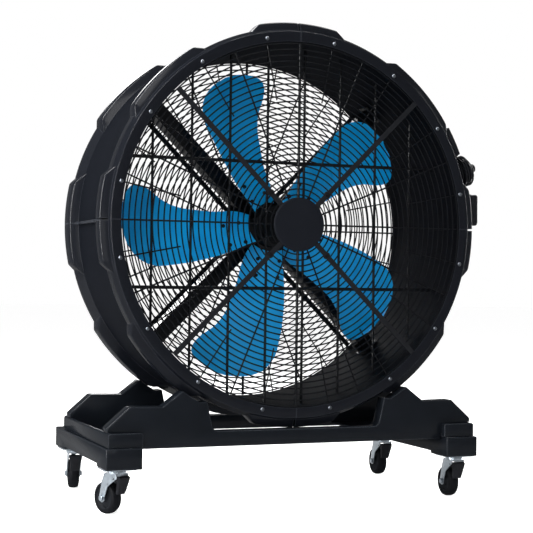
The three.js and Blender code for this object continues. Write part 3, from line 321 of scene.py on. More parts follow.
def soften(bm, edges, offset, segments=2, **settings):
    """Rounds these edges by offset."""
    bmesh.ops.bevel(
        bm, geom=edges, offset=offset, segments=segments, profile=0.5, affect="EDGES", **settings
    )


def edges_over(edges, radians):
    """The edges between two faces that turn by more than this."""
    return [e for e in edges if e.calc_face_angle(0) > radians]


def skin(bm, rings):
    """Faces between rings of points, and one over each end."""
    count = len(rings[0])
    for low, high in zip(rings, rings[1:]):
        for k in range(count):
            n = (k + 1) % count
            bm.faces.new((low[k], low[n], high[n], high[k]))
    bm.faces.new(rings[0][::-1])
    bm.faces.new(rings[-1])


def polar(r, degrees):
    angle = math.radians(degrees)
    return r * math.cos(angle), r * math.sin(angle)


AT_DRUM = Matrix.Translation(DRUM)
# A corner that turns by less than this stays as it is; an arc takes this share of a side at most.
LEAST_TURN = math.radians(6)
SIDE_SHARE = 0.45
# A point of a turned section nearer the axis than this is on it.
ON_AXIS = 1e-6


def round_corners(outline, radius, steps=3):
    """The closed outline with an arc at each real corner, as large as its sides allow."""
    made = []
    count = len(outline)
    for i, corner in enumerate(outline):
        here = Vector(corner)
        back = Vector(outline[i - 1]) - here
        on = Vector(outline[(i + 1) % count]) - here
        turn = math.pi - back.angle(on)
        wanted = radius[i] if isinstance(radius, (list, tuple)) else radius
        if turn < LEAST_TURN or wanted <= 0:
            made.append(here)
            continue
        reach = min(wanted * math.tan(turn / 2), SIDE_SHARE * min(back.length, on.length))
        start, end = here + back.normalized() * reach, here + on.normalized() * reach
        for k in range(steps + 1):
            t = k / steps
            made.append(start * (1 - t) ** 2 + here * 2 * t * (1 - t) + end * t**2)
    return made


def revolve(bm, outline, sides, closed=True):
    """A section of (radius, y) turned all round the Y axis."""
    rings = []
    for k in range(sides):
        c, s = polar(1, 360 * k / sides)
        rings.append([bm.verts.new((r * c, y, r * s)) for r, y in outline])
    last = len(outline) if closed else len(outline) - 1
    for near, far in zip(rings, rings[1:] + rings[:1]):
        for i in range(last):
            j = (i + 1) % len(outline)
            corners = [near[i], near[j]]
            if outline[j][0] > ON_AXIS:
                corners.append(far[j])
            if outline[i][0] > ON_AXIS:
                corners.append(far[i])
            if len(corners) > 2:
                bm.faces.new(corners)


def turned_mesh(outline, sides, radius=0, place=AT_DRUM):
    """A solid turned round Y from an outline that starts and ends on the axis."""
    points = [tuple(p) for p in round_corners(outline, radius)] if radius else outline
    bm = bmesh.new()
    revolve(bm, points, sides, closed=False)
    return mesh_of(bm, place)


def along(axis, at):
    """Moves something turned round Y so that its axis lies along axis, through at."""
    turn = Vector((0, 1, 0)).rotation_difference(Vector(axis))
    return Matrix.Translation(at) @ turn.to_matrix().to_4x4()


# Faces within the first angle of each other are one flat face; an edge past the second is rounded.
FLAT_WITHIN, CORNER_FROM = math.radians(1.2), math.radians(25)


def dressed(node, material, edge, sharp=30, reshape=None):
    """A CAD node with its flat faces made whole and its edges rounded by edge millimetres."""
    mesh = frame["nodes"][node].data.copy()
    if reshape:
        reshape(mesh)
    bm = bmesh.new()
    bm.from_mesh(mesh)
    bmesh.ops.remove_doubles(bm, verts=bm.verts, dist=0.01 * MM)
    bmesh.ops.dissolve_limit(
        bm, angle_limit=FLAT_WITHIN, verts=bm.verts, edges=bm.edges, delimit=set()
    )
    soften(bm, edges_over(bm.edges, CORNER_FROM), edge * MM, clamp_overlap=True)
    bmesh.ops.triangulate(bm, faces=[f for f in bm.faces if len(f.verts) > 4])
    bm.to_mesh(mesh)
    bm.free()
    settle(node + "_dressed", mesh, material, BODY_OF[node], [node], sharp=sharp)


def holding(mesh):
    """An object that holds a mesh while modifiers work on it."""
    holder = bpy.data.objects.new("holder", mesh)
    bpy.context.scene.collection.objects.link(holder)
    return holder


def modified(holder, *others):
    """The mesh that the holder's modifiers make; the holder and the others are then removed."""
    graph = bpy.context.evaluated_depsgraph_get()
    result = bpy.data.meshes.new_from_object(holder.evaluated_get(graph))
    for obj in (holder, *others):
        bpy.data.objects.remove(obj)
    return result


def boolean(base, operation, cutter):
    """base, joined with or cut by another mesh, both in metres."""
    holder, other = holding(base), holding(cutter)
    modifier = holder.modifiers.new("boolean", "BOOLEAN")
    modifier.operation = operation
    modifier.solver = "MANIFOLD"
    modifier.object = other
    return modified(holder, other)


# ---- Geometry Nodes for what repeats ----

FLOAT, INT, MATERIAL = "NodeSocketFloat", "NodeSocketInt", "NodeSocketMaterial"
RING_SIDES = 144


def new_tree(name, **inputs):
    """A geometry tree with these inputs, each a name and a socket type, and their outputs."""
    tree = bpy.data.node_groups.new(name, "GeometryNodeTree")
    tree.interface.new_socket("Geometry", in_out="OUTPUT", socket_type="NodeSocketGeometry")
    for label, kind in inputs.items():
        tree.interface.new_socket(label, in_out="INPUT", socket_type=kind)
    return tree, add_node(tree, "NodeGroupInput").outputs


def close_tree(tree, geometry, material):
    painted = output(tree, "GeometryNodeSetMaterial", {"Geometry": geometry, "Material": material})
    add_node(tree, "NodeGroupOutput", {"Geometry": painted})
    return tree


def circle(tree, radius, sides):
    return output(
        tree, "GeometryNodeCurvePrimitiveCircle", {"Radius": radius, "Resolution": sides}
    )


def close_as_wire(tree, curves, radius, sides, material):
    """Ends a tree with a round wire along each curve."""
    section = circle(tree, radius, sides)
    inputs = {"Curve": curves, "Profile Curve": section, "Fill Caps": True}
    return close_tree(tree, output(tree, "GeometryNodeCurveToMesh", inputs), material)


def grown(tree, values, start=None):
    """The plain mesh that a tree makes from these input values, and from a starting mesh."""
    holder = holding(start or bpy.data.meshes.new("empty"))
    modifier = holder.modifiers.new("nodes", "NODES")
    modifier.node_group = tree
    for socket in tree.interface.items_tree:
        if socket.in_out == "INPUT" and socket.name in values:
            modifier[socket.identifier] = values[socket.name]
    return modified(holder)


def vector(tree, **parts):
    return output(tree, "ShaderNodeCombineXYZ", parts)


def straight(tree, start, end):
    return output(tree, "GeometryNodeCurvePrimitiveLine", {"Start": start, "End": end})


def line_of_points(tree, count, start=(0, 0, 0), offset=(0, 0, 0)):
    inputs = {"Count": count, "Start Location": start, "Offset": offset}
    return output(tree, "GeometryNodeMeshLine", inputs)


def copies(tree, points, shape, **inputs):
    """The shape on each point, as real geometry."""
    inputs |= {"Points": points, "Instance": shape}
    placed = output(tree, "GeometryNodeInstanceOnPoints", inputs)
    return output(tree, "GeometryNodeRealizeInstances", {"Geometry": placed})


def ring_tree():
    """Rings in the XY plane, evenly spaced from Inner to Outer."""
    tree, given = new_tree(
        "wire_rings", Count=INT, Inner=FLOAT, Outer=FLOAT, Wire=FLOAT, Material=MATERIAL
    )
    points = line_of_points(tree, given["Count"])
    index = output(tree, "GeometryNodeInputIndex")
    last = calc(tree, "SUBTRACT", given["Count"], 1.0)
    radius = ranged(tree, index, 0.0, last, given["Inner"], given["Outer"])
    rings = copies(tree, points, circle(tree, 1.0, RING_SIDES), Scale=radius)
    return close_as_wire(tree, rings, given["Wire"], 6, given["Material"])


def spoke_tree():
    """Straight wires in the XY plane, pointing away from the middle."""
    sizes = dict.fromkeys(("First", "Step", "Inner", "Outer", "Wire"), FLOAT)
    tree, given = new_tree("wire_spokes", Count=INT, **sizes, Material=MATERIAL)
    points = line_of_points(tree, given["Count"])
    line = straight(tree, vector(tree, X=given["Inner"]), vector(tree, X=given["Outer"]))
    index = output(tree, "GeometryNodeInputIndex")
    angle = calc(tree, "MULTIPLY_ADD", index, given["Step"], given["First"])
    spokes = copies(tree, points, line, Rotation=vector(tree, Z=angle))
    return close_as_wire(tree, spokes, given["Wire"], 8, given["Material"])


def rod_tree():
    """Parallel rods along Y, spaced along X, each as long as its chord of the circle Reach."""
    tree, given = new_tree(
        "guard_rods", Count=INT, Pitch=FLOAT, Reach=FLOAT, Rod=FLOAT, Material=MATERIAL
    )
    width = calc(tree, "MULTIPLY", calc(tree, "SUBTRACT", given["Count"], 1.0), given["Pitch"])
    left = calc(tree, "MULTIPLY", width, -0.5)
    points = line_of_points(
        tree, given["Count"], vector(tree, X=left), vector(tree, X=given["Pitch"])
    )
    place = output(tree, "GeometryNodeInputPosition")
    across = output(tree, "ShaderNodeSeparateXYZ", {0: place})
    across_squared = calc(tree, "MULTIPLY", across, across)
    reach_squared = calc(tree, "MULTIPLY", given["Reach"], given["Reach"])
    chord = calc(tree, "SQRT", calc(tree, "SUBTRACT", reach_squared, across_squared))
    line = straight(tree, (0, -1, 0), (0, 1, 0))
    rods = copies(tree, points, line, Scale=vector(tree, X=1.0, Y=chord, Z=1.0))
    return close_as_wire(tree, rods, given["Rod"], 10, given["Material"])


def fastener_tree():
    """A head on each point of the starting mesh, standing along its facing attribute."""
    tree, given = new_tree(
        "fasteners", Places="NodeSocketGeometry", Head="NodeSocketObject", Material=MATERIAL
    )
    facing = output(
        tree, "GeometryNodeInputNamedAttribute", {"Name": "facing"}, data_type="FLOAT_VECTOR"
    )
    turn = output(tree, "FunctionNodeAlignRotationToVector", {"Vector": facing}, axis="Z")
    head = add_node(tree, "GeometryNodeObjectInfo", {"Object": given["Head"]})
    heads = copies(tree, given["Places"], head.outputs["Geometry"], Rotation=turn)
    return close_tree(tree, heads, given["Material"])


RINGS, SPOKES, RODS, FASTENERS = ring_tree(), spoke_tree(), rod_tree(), fastener_tree()

# ---- Fasteners ----

# A head's foot lies this far in what it clamps.
HEAD_SUNK = 1
WASHER = [(-HEAD_SUNK, 5.5), (0.6, 6), (1.4, 6), (1.7, 5.4)]
HEXAGON_CORNER = 5 / math.cos(math.pi / 6)
HEXAGON = [(0, HEXAGON_CORNER), (4.6, HEXAGON_CORNER), (5.6, HEXAGON_CORNER * 0.86)]


def head_mesh(levels, sides):
    """A fastener's head: (height, radius) levels round Z, closed at the bottom and the top."""
    bm = bmesh.new()
    rings = [
        [bm.verts.new((*polar(r, 360 * k / sides), height)) for k in range(sides)]
        for height, r in levels
    ]
    skin(bm, rings)
    return mesh_of(bm)


def washer_and_hexagon():
    """A washer below a hexagon head with a chamfered top."""
    bm = bmesh.new()
    bm.from_mesh(head_mesh(WASHER, 20))
    bm.from_mesh(head_mesh(HEXAGON, 6))
    return plain_mesh(bm)


def fasteners(name, head, places, material, body):
    """One mesh of heads at (point, facing) places, in metres."""
    start = bpy.data.meshes.new("places")
    start.from_pydata([p for p, _ in places], [], [])
    facing = start.attributes.new("facing", "FLOAT_VECTOR", "POINT")
    for k, (_, way) in enumerate(places):
        facing.data[k].vector = way
    holder = holding(head)
    mesh = grown(FASTENERS, {"Head": holder, "Material": material}, start)
    bpy.data.objects.remove(holder)
    settle(name, mesh, material, body)


def drum_point(r, degrees, y):
    x, z = polar(r, degrees)
    return DRUM + Vector((x, y, z)) * MM


def depths(node):
    """Where a node starts and ends along the drum's axis."""
    return [(corner.y - DRUM.y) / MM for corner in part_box(node)]


# ---- Mains lead: up from the box, wound on its post, down to the plug ----

POST_ANGLE = math.radians(17.3)
POST_Y = -118
OUTWARD = Vector((math.cos(POST_ANGLE), 0, math.sin(POST_ANGLE)))
UPWARD = Vector((-OUTWARD.z, 0, OUTWARD.x))
REARWARD = Vector((0, 1, 0))
CORD_D = 8
COIL_START = 614
COIL_PITCH = 8.6
COIL_INNER_R = 37
COIL_LAYER = 9
INNER_TURNS = 4.25
REVERSAL = 0.5
OUTER_TURNS = 3
COIL_TURNS = INNER_TURNS + REVERSAL + OUTER_TURNS
POINTS_IN_TURN = 36
POINTS_IN_RISE = 8
POINTS_IN_BEND = 12
TAIL_RUN = 50
TAIL_BEND = 50
TAIL_DROP = 10
BOX_TOP = (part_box("control_box_base")[1].z - DRUM.z) / MM
RELIEF_LENGTH = 22
RELIEF_FOOT_R, RELIEF_FOOT = 9, 4
RELIEF_R, RELIEF_TIP_R = 7.6, 5.2
RELIEF_GROOVES, GROOVE_STEP, GROOVE_TAPER = 4, 3.8, 0.45
PLUG_SIDES = 32
# Height, half width, half depth and corner radius of the plug's body
PLUG_LEVELS = [
    (18, 12, 8, 4),
    (19, 13.5, 9.5, 4.5),
    (28, 14, 10, 5),
    (38, 12, 8.6, 4.5),
    (48, 13.4, 9.4, 5),
    (56, 12, 8.6, 5),
    (58, 9, 7.6, 6),
    (60, 7.4, 7, 6.5),
    (72, 5, 5, 5),
]
PIN_PLACES = (-7, 7)
PIN_THICK, PIN_WIDTH, PIN_LENGTH = 2, 6, 20


def near_post(out, up, rear):
    return Vector((0, POST_Y, 0)) + OUTWARD * out + UPWARD * up + REARWARD * rear


def winding_point(turn):
    """Outward in the inner layer, a step up, and back in the outer one."""
    farthest = INNER_TURNS + REVERSAL / 2
    climb = farthest - abs(turn - farthest)
    step = min(1, max(0, (turn - INNER_TURNS) / REVERSAL))
    r = COIL_INNER_R + COIL_LAYER * step * step * (3 - 2 * step)
    angle = 2 * math.pi * turn
    return near_post(COIL_START + COIL_PITCH * climb, r * math.sin(angle), r * math.cos(angle))


def bezier(a, b, c, d, steps):
    for k in range(steps):
        t = k / steps
        yield a * (1 - t) ** 3 + b * 3 * t * (1 - t) ** 2 + c * 3 * t * t * (1 - t) + d * t**3


def lead_points():
    """Up from the box, round the post in both layers, to the rear and down."""
    end = near_post(COIL_START, -CORD_D - FIT, COIL_INNER_R)
    low = BOX_TOP + FIT + RELIEF_LENGTH + FIT
    start = Vector((end.x + math.tan(POST_ANGLE / 2) * (end.z - low), end.y, low))
    third = (end - start).length / 3
    above, below = start + Vector((0, 0, third)), end - UPWARD * third
    points = list(bezier(start, above, below, end, POINTS_IN_RISE))
    points.append(near_post(COIL_START, -CORD_D, COIL_INNER_R))
    steps = round(COIL_TURNS * POINTS_IN_TURN)
    points += [winding_point(COIL_TURNS * k / steps) for k in range(steps + 1)]
    run = points[-1] + REARWARD * (CORD_D + TAIL_RUN)
    for k in range(POINTS_IN_BEND + 1):
        angle = math.pi / 2 * k / POINTS_IN_BEND
        points.append(run + TAIL_BEND * Vector((0, math.sin(angle), math.cos(angle) - 1)))
    points.append(points[-1] - Vector((0, 0, TAIL_DROP)))
    return points


def mains_lead():
    points = lead_points()
    data = bpy.data.curves.new("mains_lead", "CURVE")
    data.dimensions = "3D"
    data.bevel_depth = CORD_D / 2 * MM
    data.bevel_resolution = 3
    data.use_fill_caps = True
    spline = data.splines.new("POLY")
    spline.points.add(len(points) - 1)
    for place, point in zip(spline.points, points):
        place.co = (*(DRUM + point * MM), 1)
    spline.use_smooth = True
    lead = bpy.data.objects.new("mains_lead", data)
    data.materials.append(CORD_PVC)
    bpy.context.scene.collection.objects.link(lead)
    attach(lead, "frame")
    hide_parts("cord_lead", "cord_coil", "cord_tail")
    length = sum((b - a).length for a, b in zip(points, points[1:])) * MM
    return lead, points, length


def strain_relief(start):
    """A tapered sleeve with bending grooves, between the box and the lead."""
    outline = [
        (0, 0),
        (RELIEF_FOOT_R, 0),
        (RELIEF_FOOT_R, RELIEF_FOOT),
        (RELIEF_R, RELIEF_FOOT + 1),
    ]
    for k in range(RELIEF_GROOVES):
        low = RELIEF_FOOT + 2 + GROOVE_STEP * k
        r = RELIEF_R - 0.2 - GROOVE_TAPER * k
        outline += [(r, low), (r, low + 2.2), (r - 1, low + 2.6), (r - 1, low + 3.4)]
    outline += [(RELIEF_TIP_R, RELIEF_LENGTH), (0, RELIEF_LENGTH)]
    foot = DRUM + Vector((start.x, start.y, BOX_TOP + FIT)) * MM
    mesh = turned_mesh(outline, 32, place=along((0, 0, 1), foot))
    settle("strain_relief_sleeve", mesh, CORD_PVC, "frame", ["strain_relief"])


def moulded_plug():
    """The plug's body pinched for the fingers, its neck, and two flat pins."""
    low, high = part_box("plug")
    centre = (low + high) / 2
    place = Matrix.Translation((centre.x, centre.y, low.z))
    bm = bmesh.new()
    rings = []
    for height, half_x, half_y, corner in PLUG_LEVELS:
        ring = []
        for k in range(PLUG_SIDES):
            c, s = polar(1, 360 * (k + 0.5) / PLUG_SIDES)
            x = math.copysign(max(0, half_x - corner), c) + corner * c
            y = math.copysign(max(0, half_y - corner), s) + corner * s
            ring.append(bm.verts.new((x, y, height)))
        rings.append(ring)
    skin(bm, rings)
    body = settle("plug_body", mesh_of(bm, place), CORD_PVC, "frame", ["plug"], sharp=50)
    bm = bmesh.new()
    for x in PIN_PLACES:
        pin = bmesh.ops.create_cube(bm, size=1)["verts"]
        for v in pin:
            top = 0 if v.co.z < 0 else PIN_LENGTH
            v.co = Vector((x + v.co.x * PIN_THICK, v.co.y * PIN_WIDTH, top))
        tip = [e for e in bm.edges if all(v.co.z < 1 and v in pin for v in e.verts)]
        soften(bm, tip, 0.7)
    pins = settle("plug_pins", mesh_of(bm, place), PIN_NICKEL, "frame")
    return [body, pins]


LEAD, LEAD_POINTS, LEAD_LENGTH = mains_lead()
strain_relief(LEAD_POINTS[0])
moulded_plug()

# ---- Drum: a hollow ring with raised pads on both rims ----

INNER_R = 540
FLANGE_R = 571
GROOVE_R, GROOVE_BACK = 574, 8
FRONT_RIDGE_R, FRONT_RIDGE = 582, (-205, -165)
RECESS_R, RECESS = 573, (-150, 142)
REAR_RIDGE_R, REAR_RIDGE = 586, (195, 212)
FLANGE_EDGES, RIDGE_EDGE = [1.5, 3], 4
PAD_R, PAD_FOOT_R = 600, 575
PAD_TOP_HALF, PAD_FOOT_HALF = 12, 15.5
PAD_SINK = 8
PAD_EDGE = 4.5
FRONT_PAD = (-216, -207, -165, -150)
REAR_PAD = (138, 150, 212, 222)
RIB_R, RIB_HALF = 581, 4
RIB_SINK, RIB_BASE_R = 2, 565
RIB_FOOT, RIB_TOE = 20, 5
RIB_EDGE = 1.2
SLOT_HALF, SLOT_DEPTH = 3, 24
POCKET_ANGLE, POCKET_WIDTH, POCKET_DEPTH = 43, 76, 20
POCKET = (-128, -22)
# The channel's faces start this far outside the drum's bore.
RIM_WALL = 6
# A face is in the channel up to this far above its floor.
CHANNEL_FLOOR = 1.5
DRUM_STEPS = 240


def drum_ring():
    half = HALF_DEPTH
    outline = [
        (INNER_R, -half),
        (FLANGE_R, -half),
        (GROOVE_R, -half + GROOVE_BACK),
        (FRONT_RIDGE_R, FRONT_RIDGE[0]),
        (FRONT_RIDGE_R, FRONT_RIDGE[1]),
        (RECESS_R, RECESS[0]),
        (RECESS_R, RECESS[1]),
        (REAR_RIDGE_R, REAR_RIDGE[0]),
        (REAR_RIDGE_R, REAR_RIDGE[1]),
        (FLANGE_R, half),
        (INNER_R, half),
    ]
    edges = FLANGE_EDGES + [RIDGE_EDGE] * 7 + FLANGE_EDGES[::-1]
    bm = bmesh.new()
    revolve(bm, round_corners(outline, edges, steps=4), DRUM_STEPS)
    return mesh_of(bm)


def rectangle(bm, half_u, near, far, level):
    corners = [(-half_u, near), (half_u, near), (half_u, far), (-half_u, far)]
    return [bm.verts.new((u, v, level)) for u, v in corners]


def pad(y, centre):
    """One raised pad: a block with sloping flanks and rounded edges, bent round the drum."""
    fall = (PAD_R - PAD_FOOT_R + PAD_SINK) / (PAD_R - PAD_FOOT_R)
    top_u, foot_u = (math.radians(a) * PAD_R for a in (PAD_TOP_HALF, PAD_FOOT_HALF))
    foot_u = top_u + (foot_u - top_u) * fall
    front, rear = y[1] + (y[0] - y[1]) * fall, y[2] + (y[3] - y[2]) * fall
    bm = bmesh.new()
    low = rectangle(bm, foot_u, front, rear, PAD_FOOT_R - PAD_SINK)
    high = rectangle(bm, top_u, y[1], y[2], PAD_R)
    skin(bm, [low, high])
    shown = [e for e in bm.edges if any(v in high for v in e.verts)]
    soften(bm, shown, PAD_EDGE, segments=3, clamp_overlap=True)
    steps = round(2 * PAD_FOOT_HALF)
    for k in range(1, steps):
        u = -foot_u + 2 * foot_u * k / steps
        bmesh.ops.bisect_plane(
            bm, geom=bm.verts[:] + bm.edges[:] + bm.faces[:], plane_co=(u, 0, 0), plane_no=(1, 0, 0)
        )
    for v in bm.verts:
        x, z = polar(v.co.z, centre + math.degrees(v.co.x / PAD_R))
        v.co = Vector((x, v.co.y, z))
    return mesh_of(bm)


def turned_to(degrees):
    """Turns something modelled at angle 0 of the drum to its own angle."""
    return Matrix.Rotation(-math.radians(degrees), 4, "Y")


def block(x, y, z, degrees):
    """A box modelled at angle 0 and turned to its own angle, in metres."""
    bm = bmesh.new()
    for v in bmesh.ops.create_cube(bm, size=1)["verts"]:
        v.co = Vector(pair[0] if c < 0 else pair[1] for c, pair in zip(v.co, (x, y, z)))
    return mesh_of(bm, turned_to(degrees))


def rib(degrees):
    """A rib across the channel that climbs over the rear ridge."""
    high = RIB_R + REAR_RIDGE_R - RECESS_R
    section = [
        (RECESS_R - RIB_SINK, RECESS[0] + RIB_FOOT),
        (RIB_R, RECESS[0] + RIB_FOOT + RIB_TOE),
        (RIB_R, RECESS[1]),
        (high, REAR_RIDGE[0]),
        (high, REAR_RIDGE[1]),
        (RIB_BASE_R, REAR_RIDGE[1]),
        (RIB_BASE_R, RECESS[0] + RIB_FOOT),
    ]
    bm = bmesh.new()
    skin(bm, [[bm.verts.new((r, y, z)) for r, y in section] for z in (-RIB_HALF, RIB_HALF)])
    outside = [e for e in bm.edges if all(v.co.x > RECESS_R for v in e.verts)]
    soften(bm, edges_over(outside, 0.5), RIB_EDGE)
    return mesh_of(bm, turned_to(degrees))


def drum_body():
    body = drum_ring()
    for y in (FRONT_PAD, REAR_PAD):
        for centre in range(0, 360, 45):
            body = boolean(body, "UNION", pad(y, centre))
    depth = (PAD_R - SLOT_DEPTH, PAD_R + 5)
    for degrees in range(0, 360, 90):
        body = boolean(body, "UNION", rib(degrees))
        slot = block(depth, (GROOVE_BACK - HALF_DEPTH, RECESS[0]), (-SLOT_HALF, SLOT_HALF), degrees)
        body = boolean(body, "DIFFERENCE", slot)
    depth = (RECESS_R - POCKET_DEPTH, RECESS_R + 8)
    half = POCKET_WIDTH / 2
    for degrees in (POCKET_ANGLE, 180 - POCKET_ANGLE, 180 + POCKET_ANGLE, -POCKET_ANGLE):
        body = boolean(body, "DIFFERENCE", block(depth, POCKET, (-half, half), degrees))
    return body


def paint_shaded_liner(shell):
    """The faces that look at the drum's axis, and the channel round it, take the darker matt finish that paints
    their shade.
    """
    # A darker copy of the drum's plastic: painted shade on the inside and in the channel.
    shell.data.materials.append(SHADED_LINER_POLYETHYLENE)
    for face in shell.data.polygons:
        away = (face.center - DRUM) / MM
        depth = away.y
        away.y = 0
        r = away.length
        inside = r < INNER_R + 1 and face.normal.dot(away) < -0.5 * r
        low = INNER_R + RIM_WALL < r < RECESS_R + CHANNEL_FLOOR
        if inside or low and RECESS[0] < depth < RECESS[1]:
            face.material_index = 1


def drum_shell():
    body = drum_body()
    near, far = FIT / 2, PAD_R + 50
    reach = HALF_DEPTH + 5
    for k, corner in enumerate(CORNERS):
        sector = block((near, far), (-reach, reach), (near, far), 90 * k)
        quadrant = boolean(body.copy(), "INTERSECT", sector)
        quadrant.transform(AT_DRUM)
        node = "drum_shell_" + corner
        shell = settle(node + "_moulded", quadrant, DRUM_POLYETHYLENE, "frame", [node], sharp=28)
        paint_shaded_liner(shell)


drum_shell()

# ---- Grilles ----

RING_COUNT = 27
FIRST_RING, LAST_RING = 88, 536
RING_WIRE, SPOKE_WIRE = 2.2, 2.6
UPRIGHT_WIRE = 4.4
WELD_DEPTH = 0.6
DISC_R = 80
HIDDEN_R = DISC_R - 12
WIRE_END_R = INNER_R - FIT - 1
SHORT_SPOKE = 371
BAR_WIDTH, BAR_THICK, BAR_GAP = 15, 3, 0.2
BAR_EDGE = 0.8
BAR_BOLT_R = 128
BOSS_R, BOSS_HALF = 11, 9
SCREW_R = 553
SCREWS = 16
# Turns something in the XY plane upright, into the plane of a grille.
UPRIGHT = Matrix.Rotation(math.radians(90), 4, "X")
# Count, first angle, step, inner end and wire of each set of spokes
SPOKE_SETS = [
    (8, 22.5, 45, HIDDEN_R, SPOKE_WIRE),
    (2, 0, 180, HIDDEN_R, SPOKE_WIRE),
    (2, 90, 180, HIDDEN_R, UPRIGHT_WIRE),
    (16, 11.25, 22.5, SHORT_SPOKE, SPOKE_WIRE * 0.85),
]


def wire_work(layers):
    """One mesh of what each (tree, depth, turn, values) makes, in the plane of a grille."""
    bm = bmesh.new()
    for tree, y, turn, values in layers:
        mesh = grown(tree, {**values, "Material": POWDER_COAT})
        mesh.transform(Matrix.Translation((0, y * MM, 0)) @ UPRIGHT @ turn)
        bm.from_mesh(mesh)
    mesh = plain_mesh(bm)
    mesh.transform(AT_DRUM)
    return mesh


def grille_wires(side):
    """Rings, and spokes just behind them; side is -1 in front and +1 at the rear."""
    still = Matrix.Identity(4)
    rings_at = side * (HALF_DEPTH - RING_WIRE)
    spokes_at = rings_at - side * (RING_WIRE + SPOKE_WIRE - WELD_DEPTH)
    rings = {
        "Count": RING_COUNT,
        "Inner": FIRST_RING * MM,
        "Outer": LAST_RING * MM,
        "Wire": RING_WIRE * MM,
    }
    layers = [(RINGS, rings_at, still, rings)]
    for count, first, step, inner, wire in SPOKE_SETS:
        spokes = {
            "Count": count,
            "First": math.radians(first),
            "Step": math.radians(step),
            "Inner": inner * MM,
            "Outer": WIRE_END_R * MM,
            "Wire": wire * MM,
        }
        layers.append((SPOKES, spokes_at, still, spokes))
    return wire_work(layers)


def bar_outline():
    """A bar along the angle 0, with its boss: half of it, then the same mirrored."""
    half = BAR_WIDTH / 2
    upper = [(DISC_R - 14, half), (BAR_BOLT_R - BOSS_HALF, half)]
    for degrees in (120, 90, 60, 30):
        along_bar, aside = polar(BOSS_R, degrees)
        upper.append((BAR_BOLT_R + along_bar, aside))
    upper += [(BAR_BOLT_R + BOSS_HALF, half), (WIRE_END_R, half)]
    return upper + [(r, -t) for r, t in reversed(upper)]


def diagonal_bars(side):
    """Four flat bars over the rings, each with a boss for its bolt."""
    bm = bmesh.new()
    face = side * (HALF_DEPTH + BAR_GAP)
    for k in range(4):
        c, s = polar(1, 45 + 90 * k)
        layers = [
            [bm.verts.new((r * c - t * s, face + side * y, r * s + t * c)) for r, t in bar_outline()]
            for y in (0, BAR_THICK)
        ]
        skin(bm, layers)
    soften(bm, edges_over(bm.edges, 0.9), BAR_EDGE)
    return mesh_of(bm, AT_DRUM)


PAN_HEAD = head_mesh([(-HEAD_SUNK, 6), (1.2, 6), (3, 5.2), (4.1, 3.4), (4.5, 1.4)], 14)
HEXAGON_M6 = washer_and_hexagon()


def centre_disc(end, side):
    node = end + "_centre_disc"
    near, far = depths(node)
    seat, face = (near, far) if side > 0 else (far, near)
    outline = [
        (0, seat),
        (DISC_R, seat),
        (DISC_R, face - side * 1.5),
        (DISC_R - 5, face),
        (0, face),
    ]
    settle(end + "_disc", turned_mesh(outline, 96, [0, 0, 2, 3, 0]), DISC_ABS, "frame", [node])


def round_the_face(count, r, depth, side):
    """Places for heads, evenly round the drum, half a step from the level line."""
    way = Vector((0, side, 0))
    return [(drum_point(r, 360 / count * (k + 0.5), side * depth), way) for k in range(count)]


def front_and_rear():
    for side, end in ((-1, "front"), (1, "rear")):
        node = end + "_grille"
        settle(end + "_wires", grille_wires(side), POWDER_COAT, "frame", [node], sharp=60)
        bars = diagonal_bars(side)
        settle(end + "_diagonal_bars", bars, BAR_COAT, "frame")
        bolts = round_the_face(4, BAR_BOLT_R, HALF_DEPTH + BAR_THICK, side)
        fasteners(end + "_bar_bolts", HEXAGON_M6, bolts, BLACK_OXIDE, "frame")
        screws = round_the_face(SCREWS, SCREW_R, HALF_DEPTH, side)
        fasteners(end + "_flange_screws", PAN_HEAD, screws, BLACK_ZINC, "frame")
        centre_disc(end, side)


front_and_rear()

# ---- Guard grid, motor and its arms ----

GRID_Y = -120
GRID_PITCH, GRID_BARS = 120, 8
GRID_BAR, GRID_CROSS_BAR = 4, 5
GRID_CROSS_Z = 190
MOTOR_R = 100
MOTOR_FRONT, MOTOR_BACK, MOTOR_CAP = 50, 165, 26
FINS = 32
FIN_DEPTH = 9
# The foot and the top of each fin, as parts of the step from one fin to the next
FIN_SECTION = [(-FIN_DEPTH, -0.28), (0, -0.16), (0, 0.16), (-FIN_DEPTH, 0.28)]
SHAFT_R = 14
BORE_GAP, BORE_END = 0.8, 4
CAP_R, CAP_TOP_R, DISH_R, DISH = 98, 86, 60, 2


def guard_grid():
    """Uprights behind the front grille, and two cross bars."""
    rows = [
        (GRID_BARS, GRID_PITCH, GRID_BAR, Matrix.Identity(4)),
        (2, 2 * GRID_CROSS_Z, GRID_CROSS_BAR, Matrix.Rotation(math.radians(90), 4, "Z")),
    ]
    layers = []
    for count, pitch, rod, turn in rows:
        bars = {"Count": count, "Pitch": pitch * MM, "Reach": (INNER_R - 1) * MM, "Rod": rod * MM}
        layers.append((RODS, GRID_Y, turn, bars))
    settle("guard_rods", wire_work(layers), POWDER_COAT, "frame", ["inner_guard_grid"], sharp=50)


def motor_housing():
    """A finned body, bored in front for the shaft."""
    outline = []
    for k in range(FINS):
        outline += [polar(MOTOR_R + r, (k + at) * 360 / FINS) for r, at in FIN_SECTION]
    bore = [Vector(point).normalized() * (SHAFT_R + BORE_GAP) for point in outline]
    levels = [
        (MOTOR_BACK - BORE_END, bore, 1),
        (MOTOR_FRONT, bore, 1),
        (MOTOR_FRONT, outline, 0.96),
        (MOTOR_FRONT + 3, outline, 1),
        (MOTOR_BACK - 2, outline, 1),
        (MOTOR_BACK, outline, 0.98),
    ]
    bm = bmesh.new()
    skin(bm, [[bm.verts.new((x * s, y, z * s)) for x, z in points] for y, points, s in levels])
    settle("motor_housing", mesh_of(bm, AT_DRUM), CAST_ENAMEL, "frame", ["motor_body"], sharp=30)


